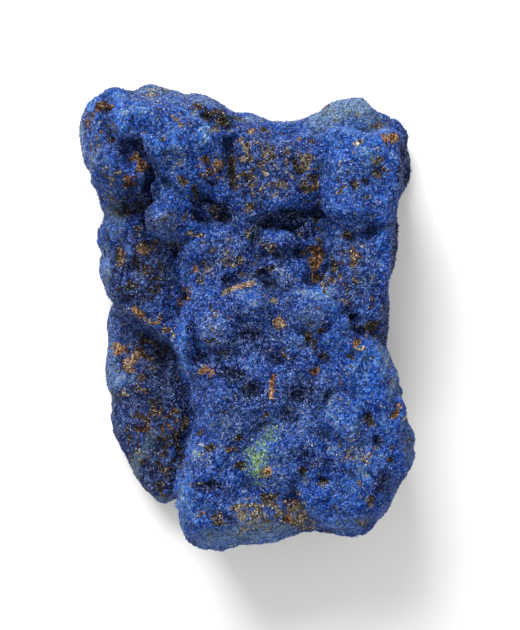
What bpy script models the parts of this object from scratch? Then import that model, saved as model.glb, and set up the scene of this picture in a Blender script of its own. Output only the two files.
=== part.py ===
"""Azurite specimen: one hand-sized stone of azurite grown in knobs over rusty limonite.

The stone lies on its broken back, whose high spots are worn flat at Z = 0. Its grown face looks up (+Z), its
long side runs along Y, and the origin is at the bottom centre of its bounding box. It grew as one piece, so it
is one solid. Run it with: blender --background --python part.py
"""

from math import radians

import bmesh
import bpy
from mathutils import Matrix, Vector

MM = 0.001

# Driving dimensions of the whole stone.
WIDTH = 77 * MM  # along X
LENGTH = 104 * MM  # along Y
THICKNESS = 42 * MM  # along Z, from the worn back to the highest knob

# How finely the form is made, from the coarse growth to the finished facets.
FUSE_VOXEL = 0.8 * MM  # grid that melts the masses into one skin
CREASE_SMOOTHING = 3  # passes that soften the creases between lumps
FACE_SMOOTHING = 2  # passes that even out the finished skin
SWELL_SIZE, SWELL_HEIGHT = 8 * MM, 2.5 * MM  # broad unevenness of every face
KNOB_SIZE, KNOB_HEIGHT = 5 * MM, 2.6 * MM  # botryoidal knobs all over the crust
CRAG_SIZE, CRAG_HEIGHT = 3 * MM, 1.6 * MM  # small crags on the knobs
TRIANGLES = 10800  # facets of the finished solid

# The masses that the stone is built up from, back to front. Each is an outline seen from above with +Y up, the
# heights of its bottom and top above the worn back, and how round its edges are, all in millimetres.
BACK = (
    [
        (-38.5, 40), (-38, 46.5), (-35.5, 50), (-29.5, 53), (-26, 52), (-21, 53.2), (-15, 51.8), (-10.5, 50.8),
        (-5, 47.5), (1, 46), (7, 44), (12, 44), (17, 47), (22, 49), (27, 49), (30, 46), (34.5, 44), (37, 39),
        (37.8, 31), (35, 25.5), (34.5, 12), (32.5, 6), (32, -8), (33, -18), (34, -28), (28, -37), (22, -41),
        (10, -42), (-2, -44), (-10, -44), (-15.5, -43), (-21, -40.5), (-26, -34), (-29.7, -26), (-30.3, -19),
        (-31.4, -11), (-31.4, -2), (-29.8, 3), (-32.7, 8), (-33.5, 17), (-31.9, 23), (-35, 31),
    ],
    -2, 14, 7.5,
)
UPPER = (
    [
        (-22, 46), (-10, 47), (-3, 44), (4, 42.5), (11, 42), (19, 44.5), (26, 44), (32, 40), (34.5, 31),
        (34, 22), (33.5, 12), (31.5, 4), (30, -5), (22, -10), (0, -10), (-11, -7), (-13, 6), (-14, 14), (-15, 22),
        (-18, 30), (-24, 37),
    ],
    4, 25, 6,
)
SHELF = (
    [
        (-30, 21), (-31, 16), (-31, 8), (-28.5, 3.5), (-24, 0), (-20, -2.5), (-15, -5), (-10, -4), (-10, 24),
        (-24, 26),
    ],
    4, 21, 4,
)
FRONT_CORE = (
    [
        (-13.5, -2), (-11, 3), (-5, 6), (3, 6.5), (12, 6), (19, 3), (23, -3), (28, -6), (32, -12), (35, -21),
        (37.4, -28), (36.5, -34), (32.5, -40.5), (26.5, -47), (21, -48), (13, -46.5), (8, -48), (0, -49.5),
        (-7, -50.3), (-13, -48), (-15, -42), (-14.7, -36), (-12.8, -30), (-10.5, -22), (-10, -16), (-12.7, -11),
        (-14.5, -6),
    ],
    3, 32, 8,
)
FRONT_TOP = (
    [
        (-14, -1), (-11.5, 3.5), (-8, 6), (-2, 7), (3, 7), (8, 5), (13, 6.5), (18, 5.5), (21, 2), (22, -3),
        (26, -4.5), (29.5, -9), (32, -15), (34, -22), (35, -28), (32, -36), (27, -42.5), (20, -45), (12, -43),
        (3, -46), (-6, -47.5), (-12.5, -45.5), (-14.3, -38), (-12.3, -30), (-10, -22), (-9.7, -16), (-12.3, -11),
        (-14, -6),
    ],
    12, 36, 5.5,
)
SADDLE = (
    [
        (-11, 26), (-9, 34), (-6, 38), (-2, 40.5), (5, 38.6), (11, 39.2), (16, 36), (16, 24), (13, 22), (8, 21),
        (3, 22), (-2, 22.5), (-5, 24),
    ],
    10, 32, 3,
)
HOOD = (
    [
        (-27.5, 41), (-26.5, 44.5), (-22, 45.7), (-17, 45.4), (-13, 43.5), (-10, 41.5), (-7, 39), (-5.5, 36),
        (-6, 31), (-9, 27), (-12, 26), (-15, 28), (-19, 30), (-20, 34), (-21, 36.5), (-22, 37.5), (-24, 36.5),
        (-27, 37.5),
    ],
    12, 35, 3,
)
NECK = (
    [(-19, 30), (-12, 30), (-11, 24), (-12.5, 17), (-17, 16.5), (-20, 20), (-18, 24)],
    10, 33, 3,
)
WAIST = (
    [
        (-14, 8), (-14, 14), (-13.5, 20), (-8, 19.5), (-3, 20), (2, 20), (4.5, 18), (4, 12), (3, 7), (0, 5),
        (-6, 4), (-11, 4),
    ],
    10, 30, 3,
)
RIGHT_BLOCK = (
    [
        (15.5, 30), (17, 38), (22, 39.5), (28, 39), (32, 36), (33.4, 30), (33, 23), (32, 19.8), (24, 19.5),
        (18, 20), (16, 24),
    ],
    12, 35.5, 2.5,
)
RIGHT_STEP = (
    [(18, 19), (25, 20.5), (32, 19), (32, 12), (31, 5), (28, 0), (22, 1), (18.5, 6), (18, 12)],
    12, 33, 2.5,
)
MASSES = [BACK, UPPER, SHELF, FRONT_CORE, FRONT_TOP, SADDLE, HOOD, NECK, WAIST, RIGHT_BLOCK, RIGHT_STEP]

# The lumps that grew on the masses: (centre x, y, z), (half sizes x, y, z), turn about Z, in millimetres and
# degrees.
LEFT_SHELF = [
    ((-14, -22, 8), (15, 17, 8.5), 0),
    ((-20, -28, 8), (7, 8, 7), 0),
    ((-23, -13, 8), (8, 8, 8.5), 0),
    ((-20, 11, 11), (11, 9, 10.5), 0),
    ((-21, 4, 12), (7, 5, 9.5), 0),
    ((-28, 16.5, 10), (5.2, 4, 7), 0),
    ((-22, 21, 12), (8, 5, 8), 0),
]
UPPER_LEFT_LOBE = [
    ((-26, 38, 15), (10.5, 11, 13), 0),
    ((-30.5, 41, 18), (5, 7, 12), 0),
    ((-28, 32.5, 20), (6.5, 8, 12), 0),
    ((-19, 46, 16), (6, 4.5, 10), 0),
    ((-10, 44.3, 16), (8, 4.5, 11), -12),
]
HOODED_RIDGE = [
    ((-14, 36, 27), (6, 7, 10.5), 0),
    ((-20, 42, 27), (6, 4, 9), 0),
    ((-7.5, 30, 26), (4, 5, 8.5), 0),
    ((-15, 26, 26), (4, 5, 9), 20),
    ((-16.5, 20.3, 29), (4.4, 4.2, 7.5), 0),
]
SADDLE_LUMPS = [
    ((0.5, 31, 25), (4.5, 8, 9), 0),
    ((6.5, 30, 26), (4.5, 7, 8.5), 0),
    ((7, 24.5, 25), (5, 3.5, 9), 0),
    ((1, 22.5, 21), (4, 4, 9), 0),
    ((12.5, 31.5, 26), (3.5, 7, 8.5), 0),
    ((23.5, 43, 19), (8, 5.5, 10), 0),
    ((6, 40, 14), (8, 4.5, 11), 0),
]
RIGHT_SIDE = [
    ((25, 32, 29), (7.5, 6.5, 8.5), 0),
    ((22, 23.5, 28), (5, 4, 9), 0),
    ((29, 23, 28), (4, 4, 8), 0),
    ((26, 11, 26), (5.5, 7, 8.5), 0),
    ((20.5, 15, 26), (3.5, 4, 8), 0),
    ((27.5, -3, 20), (3.5, 8, 10), 0),
    ((32, 32, 20), (4, 7, 9), 0),
    ((30, 14, 16), (4.5, 8, 10), 0),
]
WAIST_LUMPS = [
    ((-9, 13, 24), (5.5, 6, 8), 0),
    ((-1, 14, 24), (4.5, 5, 8), 0),
    ((7.3, 15.4, 25), (4, 3.4, 7.5), 0),
    ((10.5, 8.5, 24), (4, 4, 8.5), 0),
    ((14.5, 11, 19), (5, 7, 8), 0),
    ((6, 11, 20), (5, 6, 9), 0),
]
FRONT_LUMPS = [
    ((2, -15, 27), (13, 10, 13.2), 0),
    ((9, -28, 27), (13, 11, 12.5), 0),
    ((-5, -2.5, 30), (6.5, 6, 8.5), 0),
    ((1.5, 2.3, 32), (4.5, 4, 7), 0),
    ((14, 0.5, 32), (6, 5, 6.5), 0),
    ((-11.5, -4.5, 29), (3, 6.5, 8), 0),
    ((21, -10, 30), (7, 6, 7.5), 0),
    ((21, -22, 31), (5.5, 6, 8.3), 0),
    ((29, -26, 24), (7, 9, 11), 0),
    ((22, -38, 25), (8, 7, 12), 0),
    ((-6, -39, 25), (8, 8, 12), 0),
    ((6, -42, 18), (9, 6, 11), 0),
]
LUMPS = (
    LEFT_SHELF + UPPER_LEFT_LOBE + HOODED_RIDGE + SADDLE_LUMPS + RIGHT_SIDE + WAIST_LUMPS + FRONT_LUMPS
)

# What the stone is hollowed by: crevices, pockets and pits of the grown face, then the chips out of its back.
FACE_HOLLOWS = [
    ((10.5, 20.3, 31), (6, 2.6, 9), 0),
    ((12.8, 17.8, 31), (3, 3.5, 6), 0),
    ((15, 10.5, 34), (2.8, 5.5, 7), 0),
    ((4.2, 9.3, 33), (2, 1.6, 6), 0),
    ((-7, 21.5, 32), (4.2, 2.2, 8), -15),
    ((-21.5, 34, 31), (2.4, 3.5, 8), 15),
    ((-19.8, 28, 31), (1.6, 5, 8), -10),
    ((-2.8, 31, 36), (1.4, 5.5, 6), 0),
    ((-14.5, 14, 25), (1.6, 1.8, 6), 0),
    ((23.3, -2.4, 36), (1.7, 2.2, 10), 0),
    ((0, -11.5, 43), (6, 2.2, 5.5), 0),
    ((15.5, -14.5, 44), (4, 2.4, 6), 30),
    ((-9.8, -5, 40), (1.2, 4.5, 5), 0),
    ((26.5, -22, 41), (1.8, 2.6, 6), 0),
    ((12, -33.5, 42), (2.2, 4, 7), 20),
    ((3, -36, 42), (7, 2.5, 5), -8),
]
BACK_CHIPS = [
    ((-24, 33, -4), (8, 9, 6.5), 20),
    ((20, 36, -4), (10, 6, 6.5), -15),
    ((26, 6, -4), (6, 9, 7), 0),
    ((-19, -16, -4), (8, 7, 6), 30),
    ((12, -34, -4), (10, 5, 7), -20),
    ((0, 18, -3), (5, 7, 4), 0),
]


def collection_named(name):
    made = bpy.data.collections.new(name)
    bpy.context.scene.collection.children.link(made)
    return made


def mass_mesh(outline, bottom, top, rounding):
    """A thick plate with this outline and round edges, as a closed mesh."""
    curve = bpy.data.curves.new("mass", "CURVE")
    curve.dimensions = "2D"
    curve.fill_mode = "BOTH"
    curve.resolution_u = 5
    curve.bevel_depth = rounding * MM
    curve.offset = -rounding * MM
    curve.bevel_resolution = 3
    curve.extrude = ((top - bottom) / 2 - rounding) * MM
    spline = curve.splines.new("BEZIER")
    spline.bezier_points.add(len(outline) - 1)
    spline.use_cyclic_u = True
    for knot, (x, y) in zip(spline.bezier_points, outline):
        knot.co = Vector((x, y, 0)) * MM
        knot.handle_left_type = knot.handle_right_type = "AUTO"
    plate = bpy.data.objects.new("mass", curve)
    bpy.context.scene.collection.objects.link(plate)
    graph = bpy.context.evaluated_depsgraph_get()
    mesh = bpy.data.meshes.new_from_object(plate.evaluated_get(graph))
    mesh.transform(Matrix.Translation((0, 0, (bottom + top) / 2 * MM)))
    bpy.data.objects.remove(plate)
    return mesh


def add_mass(shape, mass):
    mesh = mass_mesh(*mass)
    shape.from_mesh(mesh)
    bpy.data.meshes.remove(mesh)


def add_lump(shape, centre, half_sizes, turn):
    place = Matrix.Translation(Vector(centre) * MM) @ Matrix.Rotation(radians(turn), 4, "Z")
    sizes = Matrix.Diagonal((*(Vector(half_sizes) * MM), 1))
    bmesh.ops.create_icosphere(shape, subdivisions=3, radius=1, matrix=place @ sizes)


def object_of(name, masses, lumps, home):
    """One object of overlapping masses and lumps, which the fuse step then melts together."""
    shape = bmesh.new()
    for mass in masses:
        add_mass(shape, mass)
    for lump in lumps:
        add_lump(shape, *lump)
    mesh = bpy.data.meshes.new(name)
    shape.to_mesh(mesh)
    shape.free()
    made = bpy.data.objects.new(name, mesh)
    home.objects.link(made)
    return made


def fuse(stone):
    step = stone.modifiers.new("fuse", "REMESH")
    step.mode = "VOXEL"
    step.voxel_size = FUSE_VOXEL


def cut(stone, name, cutter):
    step = stone.modifiers.new(name, "BOOLEAN")
    step.operation = "DIFFERENCE"
    step.solver = "EXACT"
    step.object = cutter
    cutter.hide_render = True
    cutter.display_type = "WIRE"


def soften(stone, passes):
    step = stone.modifiers.new("soften", "SMOOTH")
    step.iterations = passes


def roughen(stone, name, kind, size, height):
    texture = bpy.data.textures.new(name, kind)
    texture.noise_scale = size
    step = stone.modifiers.new(name, "DISPLACE")
    step.texture = texture
    step.texture_coords = "LOCAL"
    step.mid_level = 0.5
    step.strength = height


def apply_steps(stone):
    """Makes the modifiers' result the stone's own mesh, and gives its triangle count."""
    graph = bpy.context.evaluated_depsgraph_get()
    stone.data = bpy.data.meshes.new_from_object(stone.evaluated_get(graph))
    stone.modifiers.clear()
    stone.data.calc_loop_triangles()
    return len(stone.data.loop_triangles)


def simplify(stone, count):
    step = stone.modifiers.new("simplify", "DECIMATE")
    step.ratio = TRIANGLES / count
    step.use_collapse_triangulate = True


def ground(home):
    """The block that wears the back flat: its top is Z = 0."""
    shape = bmesh.new()
    low = Matrix.Translation((0, 0, -THICKNESS / 2))
    bmesh.ops.create_cube(shape, size=1, matrix=low @ Matrix.Diagonal((2 * WIDTH, 2 * LENGTH, THICKNESS, 1)))
    mesh = bpy.data.meshes.new("ground")
    shape.to_mesh(mesh)
    shape.free()
    made = bpy.data.objects.new("ground", mesh)
    home.objects.link(made)
    return made


def fit_to_size(mesh):
    """Brings the outer sizes to WIDTH, LENGTH and THICKNESS, about the middle of the worn back."""
    across, along, up = zip(*(point.co for point in mesh.vertices))
    middle = Vector(((min(across) + max(across)) / 2, (min(along) + max(along)) / 2, 0))
    spans = Vector((max(across) - min(across), max(along) - min(along), max(up)))
    grown = (WIDTH / spans.x, LENGTH / spans.y, THICKNESS / spans.z, 1)
    mesh.transform(Matrix.Diagonal(grown) @ Matrix.Translation(-middle))


def shade(mesh):
    """Smooth everywhere but on the worn back."""
    for face in mesh.polygons:
        face.use_smooth = face.normal.z > -0.999


def crust_material():
    crust = bpy.data.materials.new("azurite_crust")
    crust.use_nodes = True
    surface = crust.node_tree.nodes["Principled BSDF"]
    surface.inputs["Base Color"].default_value = (0.02, 0.09, 0.46, 1)
    surface.inputs["Roughness"].default_value = 0.8
    surface.inputs["Metallic"].default_value = 0
    return crust


def main():
    for old in list(bpy.data.objects):
        bpy.data.objects.remove(old)
    specimen = collection_named("azurite_specimen")
    shaping = collection_named("shaping")

    stone = object_of("azurite_specimen", MASSES, LUMPS, specimen)
    hollows = object_of("hollows", [], FACE_HOLLOWS + BACK_CHIPS, shaping)
    fuse(hollows)
    worn = ground(shaping)

    fuse(stone)
    cut(stone, "hollow", hollows)
    soften(stone, CREASE_SMOOTHING)
    roughen(stone, "swell", "CLOUDS", SWELL_SIZE, SWELL_HEIGHT)
    roughen(stone, "knobs", "VORONOI", KNOB_SIZE, -KNOB_HEIGHT)
    roughen(stone, "crags", "CLOUDS", CRAG_SIZE, CRAG_HEIGHT)
    fuse(stone)
    soften(stone, FACE_SMOOTHING)
    simplify(stone, apply_steps(stone))
    cut(stone, "wear", worn)
    apply_steps(stone)
    bpy.data.objects.remove(hollows)
    bpy.data.objects.remove(worn)

    fit_to_size(stone.data)
    shade(stone.data)
    stone.data.materials.append(crust_material())


main()
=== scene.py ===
from math import cos, pi, radians, sin

import bmesh
import bpy
import numpy as np
from mathutils import Matrix, Vector, noise


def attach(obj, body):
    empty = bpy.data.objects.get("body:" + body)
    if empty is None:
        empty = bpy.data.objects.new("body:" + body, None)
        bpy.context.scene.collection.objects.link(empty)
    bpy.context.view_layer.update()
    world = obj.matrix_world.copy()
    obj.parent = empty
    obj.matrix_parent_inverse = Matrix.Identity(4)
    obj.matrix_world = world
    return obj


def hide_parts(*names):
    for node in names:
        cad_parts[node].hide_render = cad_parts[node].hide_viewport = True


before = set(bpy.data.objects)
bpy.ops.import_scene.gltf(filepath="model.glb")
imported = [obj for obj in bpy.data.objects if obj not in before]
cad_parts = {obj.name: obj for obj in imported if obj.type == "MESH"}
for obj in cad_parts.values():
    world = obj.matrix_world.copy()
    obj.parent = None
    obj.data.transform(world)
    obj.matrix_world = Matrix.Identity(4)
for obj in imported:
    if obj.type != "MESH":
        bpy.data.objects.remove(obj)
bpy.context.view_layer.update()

# The stone: one natural piece of azurite grown in knobs over rusty limonite, broken off its bed and worn
# flat behind. Its skin starts as a copy of the solid, is smoothed, has its knobs, pits and cracks worked in
# one by one at their own places, and last gets the fine relief that its crystals grew.
MM = 0.001
WANDER_SEED = 4  # fixes the uneven shifts, so that the stone comes out the same each time
noise.seed_set(WANDER_SEED)

# Places on the grown face are given in millimetres on a flat chart, 30 mm above the worn back, as they line
# up from a bench magnifier 290 mm above it. CHART_FOOT is the chart's own number straight under it.
MAGNIFIER = np.array((3.59, -0.69, 290.0))
CHART_HEIGHT = 30.0
CHART_FOOT = np.array((3.4, 0.35))

# The dressed outline of the whole stone on the chart, from its left shoulder clockwise.
OUTLINE = [
    (-34.9, 37.9), (-34.1, 42.9), (-32.2, 45.5), (-27.4, 48.3), (-24.2, 47.6), (-22, 48.5),
    (-19.4, 48.8), (-15.7, 47.9), (-12.9, 47), (-9.6, 47), (-5.8, 45.2), (-2.5, 43), (1.3, 42.8),
    (3.8, 41.8), (6.3, 40.9), (10.3, 40.9), (13.2, 41.8), (15.6, 43.6), (18.1, 44.9), (20.8, 45.6),
    (23.3, 46), (25.4, 45.6), (26.2, 44.4), (28.2, 42.8), (30.7, 42.4), (32.6, 40.8), (34.2, 38.8),
    (35.3, 28.8), (33.1, 25.2), (32.2, 22.5), (31.9, 11.3), (30.9, 8.8), (30.2, 5.4), (30, -5.9),
    (31, -8.5), (32.5, -11.8), (33.8, -18.7), (34.2, -20.8), (35.8, -23.9), (35.9, -29), (34.6, -32.7),
    (32.5, -35.5), (29.8, -41.1), (27.3, -44.2), (24.8, -45.9), (21.5, -46.1), (17.5, -45.5),
    (13.7, -45.3), (8.9, -46.1), (6.8, -47.3), (3.4, -47.6), (-0.8, -48), (-4.9, -49), (-9.1, -48.6),
    (-11.9, -47), (-13.3, -43.8), (-14, -41.1), (-14.2, -39.5), (-17.7, -38.8), (-19.6, -37.3),
    (-21.9, -34.6), (-23.8, -31.4), (-25.7, -27.5), (-27.3, -24.1), (-27.8, -21.8), (-27.6, -17.4),
    (-28.6, -14.7), (-29, -10.5), (-28.6, -6.1), (-28.9, -1.6), (-28.3, 1.4), (-27.4, 2.8), (-29, 5.4),
    (-30.1, 8), (-30.3, 10.6), (-29.9, 13.7), (-30.9, 15.8), (-30.5, 17.9), (-29.3, 21.5), (-30.5, 24.2),
    (-31.9, 26.9), (-32.4, 29.5), (-33.6, 32.5),
]
OUTLINE_HEART = (1.0, 0.0)  # the point of the chart that the outline is dressed about
OUTLINE_STEPS = 360  # how many directions from there are dressed

# Knobs (raised) and hollows (sunk) of the grown face: place on the chart, half sizes across and along,
# height or depth, all in millimetres, and a turn in degrees where there is one.
KNOBS = [
    # what fills the deepest hollows: the left one, the two caves, the notch and the dip behind the
    # hooded ridge
    (-20, 30.5, 3.4, 7.5, 7.6, -6), (-7.6, 22.6, 4.4, 2.2, 6.6, -20), (8, 20.8, 5, 2.2, 6.8),
    (13, 17.6, 3, 4.4, 4.5), (23.2, -1.2, 2.8, 2.4, 7.4, 20), (-6, 41.4, 5.4, 3.6, 8, -25),
    (-11.5, 44.2, 3, 1.6, 3, -30), (4.4, 9.4, 2.6, 2, 2.4), (-14.5, 14, 2, 2.2, 1.4),
    (-21.6, 35.2, 2.6, 3.6, 5.8, 10), (-20.2, 28, 2, 4, 4), (15.8, 13.5, 1.4, 5, 1.6),
    (-1, 9, 2.4, 1.6, 1), (29, 16.8, 3.6, 2.4, 1.9), (23, 17.4, 3, 1.6, 0.9),
    (16.6, 20.6, 1.6, 2.2, 1.4), (3.4, 21.4, 2, 1.8, 1.2),
    # what stands out
    (-14.5, 34.5, 4.8, 5.6, 2.4), (-8.4, 37.6, 3, 3, 1.6, -30), (-24.2, 41.6, 2.6, 4.4, 2, 10),
    (-18.5, 42, 4, 3, 1.4), (-13.4, 40.6, 4, 2.6, 1, -30), (-17.2, 20.8, 3.4, 3.4, 2.5),
    (-15.6, 19.2, 1.6, 1.6, 0.6), (-15.2, 26.2, 2.4, 2.8, 1.2), (-26, 31.5, 4, 3.4, 1),
    (-29, 38, 2.4, 4.4, 0.8, 10), (-6.5, 18.5, 3.5, 2.8, 0.7), (-11, 20.5, 2.2, 2, 0.6),
    (6.8, 16.2, 3.6, 2.4, 2), (8, 23.8, 3.3, 1.3, 1.2), (24.5, 33, 6, 4.5, 0.9),
    (22.4, 22.3, 4, 2.6, 1.1), (28.5, 23.4, 3, 3, 0.5), (14.2, 1, 4.8, 4.4, 2.2),
    (18.8, -4.2, 2.6, 3, 2.2), (11, -5.2, 1.6, 2.4, 1.2, 30), (2, 3.2, 3.8, 2.8, 1.7),
    (-6.2, -2.8, 3.4, 4.6, 1.3), (-5, -0.6, 1.4, 1.2, 0.5), (-7.4, -4.4, 1.4, 1.6, 0.5),
    (-12.4, -5.6, 1.6, 5, 1.9), (3.2, -1.2, 2.2, 2, 0.7), (21.4, -22, 4.6, 5.2, 2.2),
    (22, -40, 5, 3.6, 0.8), (4, -46.2, 5, 1.7, 0.9), (-9, -46, 4, 2.4, 0.7), (1.2, -41.8, 1, 1, 0.7),
    (-1.9, -39.8, 0.9, 1, 0.7), (3, -30.5, 2.4, 4, 0.7), (-8.8, -34.9, 1, 0.5, 0.9),
    (-21, -21, 4, 3, 0.8), (-22.4, -8.8, 2.3, 1.9, 0.8), (-26.5, -6.5, 1.4, 1.5, 0.6),
    (-24, 0.5, 2.6, 1.4, 0.9, -30), (-18, -2.6, 2.8, 1.2, 0.8, -25), (-7, -18, 4, 3, 0.6),
    (8, -20, 3, 3.4, 0.6), (7.5, -28, 2.6, 2.4, 0.6), (-24, 14, 2.6, 3, 0.8), (-22, 7.5, 4, 2.6, 0.7),
    (0.5, 14, 2.6, 3.4, 0.7), (-3, 9.5, 3, 2, 0.5), (24, 12, 3, 4.4, 0.7), (28.6, -9.5, 2, 4, 0.6, 15),
    (27, -15, 2.4, 2.6, 0.6), (-5, -30, 3, 2.4, 0.5), (-7.4, -38, 3, 1.6, 0.7), (33, -28, 2, 3.6, 0.6),
]
HOLLOWS = [
    # the left hollow under the hood, and the neck below it
    (-20.6, 34.4, 2.2, 3.8, 1.4, 20), (-19.3, 29.5, 1.6, 5.4, 1, -8), (-18.7, 26, 1.5, 2.8, 1),
    (-21, 24, 2.4, 1.9, 1.6, 30), (-20.4, 20, 1.3, 3, 1.6), (-28.6, 43.3, 1.8, 0.9, 1.8, 15),
    (-30, 38.8, 1.1, 1, 1), (-27.7, 37.6, 0.9, 1.6, 1.1), (-30.6, 36.3, 0.8, 0.8, 1),
    (-32.6, 38.6, 1.2, 3, 1.2), (-23.4, 47.2, 1.2, 0.8, 1.2), (-28.3, 28.7, 1, 1, 1),
    (-24.2, 27.8, 1.1, 0.9, 1.2), (-29.8, 31.2, 0.8, 1, 0.8), (-24.6, 34.6, 1.4, 0.8, 1),
    # behind and beside the hooded ridge
    (-12.6, 42.7, 1.8, 0.8, 1, -35), (-9, 41.4, 3, 1, 0.9, -35), (-1.2, 41.4, 1.6, 0.7, 1),
    (-7.6, 32.1, 1.1, 1.3, 2), (-5.6, 31, 0.8, 1.3, 1.8), (-6.2, 28.2, 1.8, 0.8, 2.4, 10),
    (-10.4, 26.6, 0.9, 1, 1.8), (-13, 28.7, 1, 0.6, 1, -30), (-9, 24.3, 3.2, 1.1, 1.4, -14),
    (-5, 21.8, 2.4, 1.7, 1.4, -35), (-3.4, 24.6, 1, 1.6, 1.2), (-2.6, 31, 1.2, 5.6, 3, 5),
    (-0.8, 33, 0.6, 2, 1.2), (0.6, 29, 0.6, 1.2, 1), (4.2, 39, 1, 0.6, 0.7),
    (-11.5, 20.3, 0.8, 0.8, 0.8),
    # the cave on the right of the middle, and the crumbly column above it
    (10, 21.4, 3.6, 1.5, 1.2), (5.4, 20, 2.6, 1.8, 1.5, 20), (4, 17.4, 1.3, 2.4, 1.6),
    (2.6, 20.3, 2, 1, 1.6), (11.8, 13.8, 1.4, 2.2, 1), (11.2, 30.5, 1, 1.7, 1.7),
    (12, 27, 1.2, 1.2, 1.2), (14.6, 29.5, 0.8, 2, 1.4), (10.6, 33.6, 0.7, 1.6, 1.2),
    (8.6, 29, 0.7, 0.9, 0.8), (6, 26.4, 1.4, 0.6, 0.9),
    # pits of the right block and the step below it
    (28.1, 30.3, 1, 0.9, 2.4), (23.1, 27.8, 0.8, 1, 1.9, 30), (25.6, 28.4, 0.7, 0.7, 1.5),
    (20.6, 26.8, 0.7, 1.7, 1.1, -30), (25.6, 25, 1.2, 0.5, 0.7, -15), (31.4, 37.2, 1, 0.8, 0.8, -20),
    (22, 16.6, 1.5, 0.9, 1), (24.1, 11.4, 0.8, 1, 1), (21, 6.6, 1.2, 0.8, 0.9), (24, 4.6, 1, 0.8, 0.8),
    (15.3, 12.4, 1, 1.6, 0.9), (14.8, 8, 1.2, 1, 0.8), (22.9, -1.6, 1.5, 0.9, 1.4, 20),
    (24.2, -4.9, 0.9, 1.3, 1.8, -30), (27.4, -1.6, 1.2, 0.8, 1, 20),
    # the waist
    (4.6, 9.3, 2.3, 1, 1.8, 20), (2.6, 16.6, 1.3, 3, 2.2, 10), (-14.5, 14, 1.4, 2.3, 1.5),
    (-12.8, 7.1, 1, 0.7, 1.6), (-12.5, 4.4, 1, 1.6, 1, -25), (-8.8, 7.4, 0.9, 0.8, 0.8),
    (-3, 11, 1.3, 0.7, 0.9), (-9.4, 10.6, 0.8, 0.8, 0.7), (6.6, 13.4, 0.8, 1.4, 1.2),
    (-0.2, 16.2, 1.1, 0.9, 1),
    # the head of the front block
    (-11.3, -2.4, 1.1, 1.4, 1.9, 20), (-8.8, -8.6, 1, 1.4, 1.8, -30), (-11, -8.5, 0.7, 0.8, 0.8),
    (1.6, -3.6, 2.4, 1.5, 1.1), (-2.6, -12, 3.4, 1.4, 2.4), (1.6, -15, 2.4, 2.2, 2),
    (4.4, -18.2, 1, 0.8, 0.9), (-0.5, -1, 0.9, 1.5, 0.8), (16.5, -2.7, 1.3, 0.8, 1.2, 10),
    (13.8, -1.4, 0.8, 1, 0.9), (14.6, -11.5, 0.9, 1.2, 1.2), (22.8, -8.4, 1.2, 0.7, 1.1),
    (22.8, -10, 0.6, 0.6, 0.8), (14, 1.4, 1.8, 1.4, 0.7), (8.2, -6.8, 1, 0.8, 0.8),
    (11.4, -16.5, 3, 2, 0.9),
    # the lower front
    (-8, -35.4, 3.4, 1, 2.2, -8), (-3, -42.6, 1.8, 0.8, 2.3, -35), (-6.4, -42.2, 2, 0.9, 1),
    (-11.3, -44, 0.9, 0.7, 1.1), (12, -32.4, 0.9, 0.8, 1.9), (17, -34.3, 1.5, 0.7, 1.9, 15),
    (14.6, -24.3, 1, 0.7, 1.5), (13, -28.6, 0.9, 0.8, 1.4), (21, -32.4, 1.3, 0.5, 1),
    (28, -26.1, 0.9, 0.9, 1.8), (26.4, -21.6, 1.3, 2.4, 2, 15), (24.6, -24.6, 1.1, 1, 1),
    (8.8, -42.3, 0.8, 0.8, 1.1), (9.8, -38.6, 1.3, 0.8, 1), (18, -38.6, 1.3, 1, 0.9),
    (26.8, -38.4, 1, 1.3, 1.2), (24.9, -42, 0.7, 1.3, 0.8, 20), (29, -34.6, 1.1, 2.6, 1.5, -15),
    (31.6, -19.6, 1, 2.4, 1.6, -20), (-8.9, -24, 0.7, 0.9, 1), (-1, -25.2, 0.9, 0.7, 0.9),
    (-6.6, -27.3, 1.6, 0.9, 1), (-0.6, -30.8, 1.5, 1.2, 1.2), (-11, -16.5, 0.7, 1, 0.8),
    (34.8, -27.6, 1, 2, 1), (30.6, -30.4, 0.9, 1.1, 0.9), (5, -38.6, 3, 1.4, 0.8),
    (-5.8, -23.4, 0.7, 0.7, 0.7),
    # the low left shelf
    (-17.4, -10, 3, 4.5, 1.4), (-21.4, -23.6, 1, 1.1, 1.2), (-17.6, -27.6, 2.4, 2, 1.2),
    (-18.2, -17.6, 1.1, 0.9, 1), (-20, 15, 1.4, 0.9, 1), (-26, 12.6, 1, 2.2, 0.8), (-18.6, 9, 1.4, 2, 1),
    (-24.6, 3.4, 1.6, 0.7, 1, -30), (-23, 11, 1, 1, 0.7), (-21, -30.6, 1.8, 1.4, 0.9),
    (-25, -16.4, 1.2, 1.6, 0.8), (-17.4, -36.4, 1.4, 1.2, 0.9), (-14.6, -19, 1.4, 2.4, 1),
    (-24, -25.2, 1, 0.8, 0.8), (-26.6, 22.6, 2, 1, 0.9),
]
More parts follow.
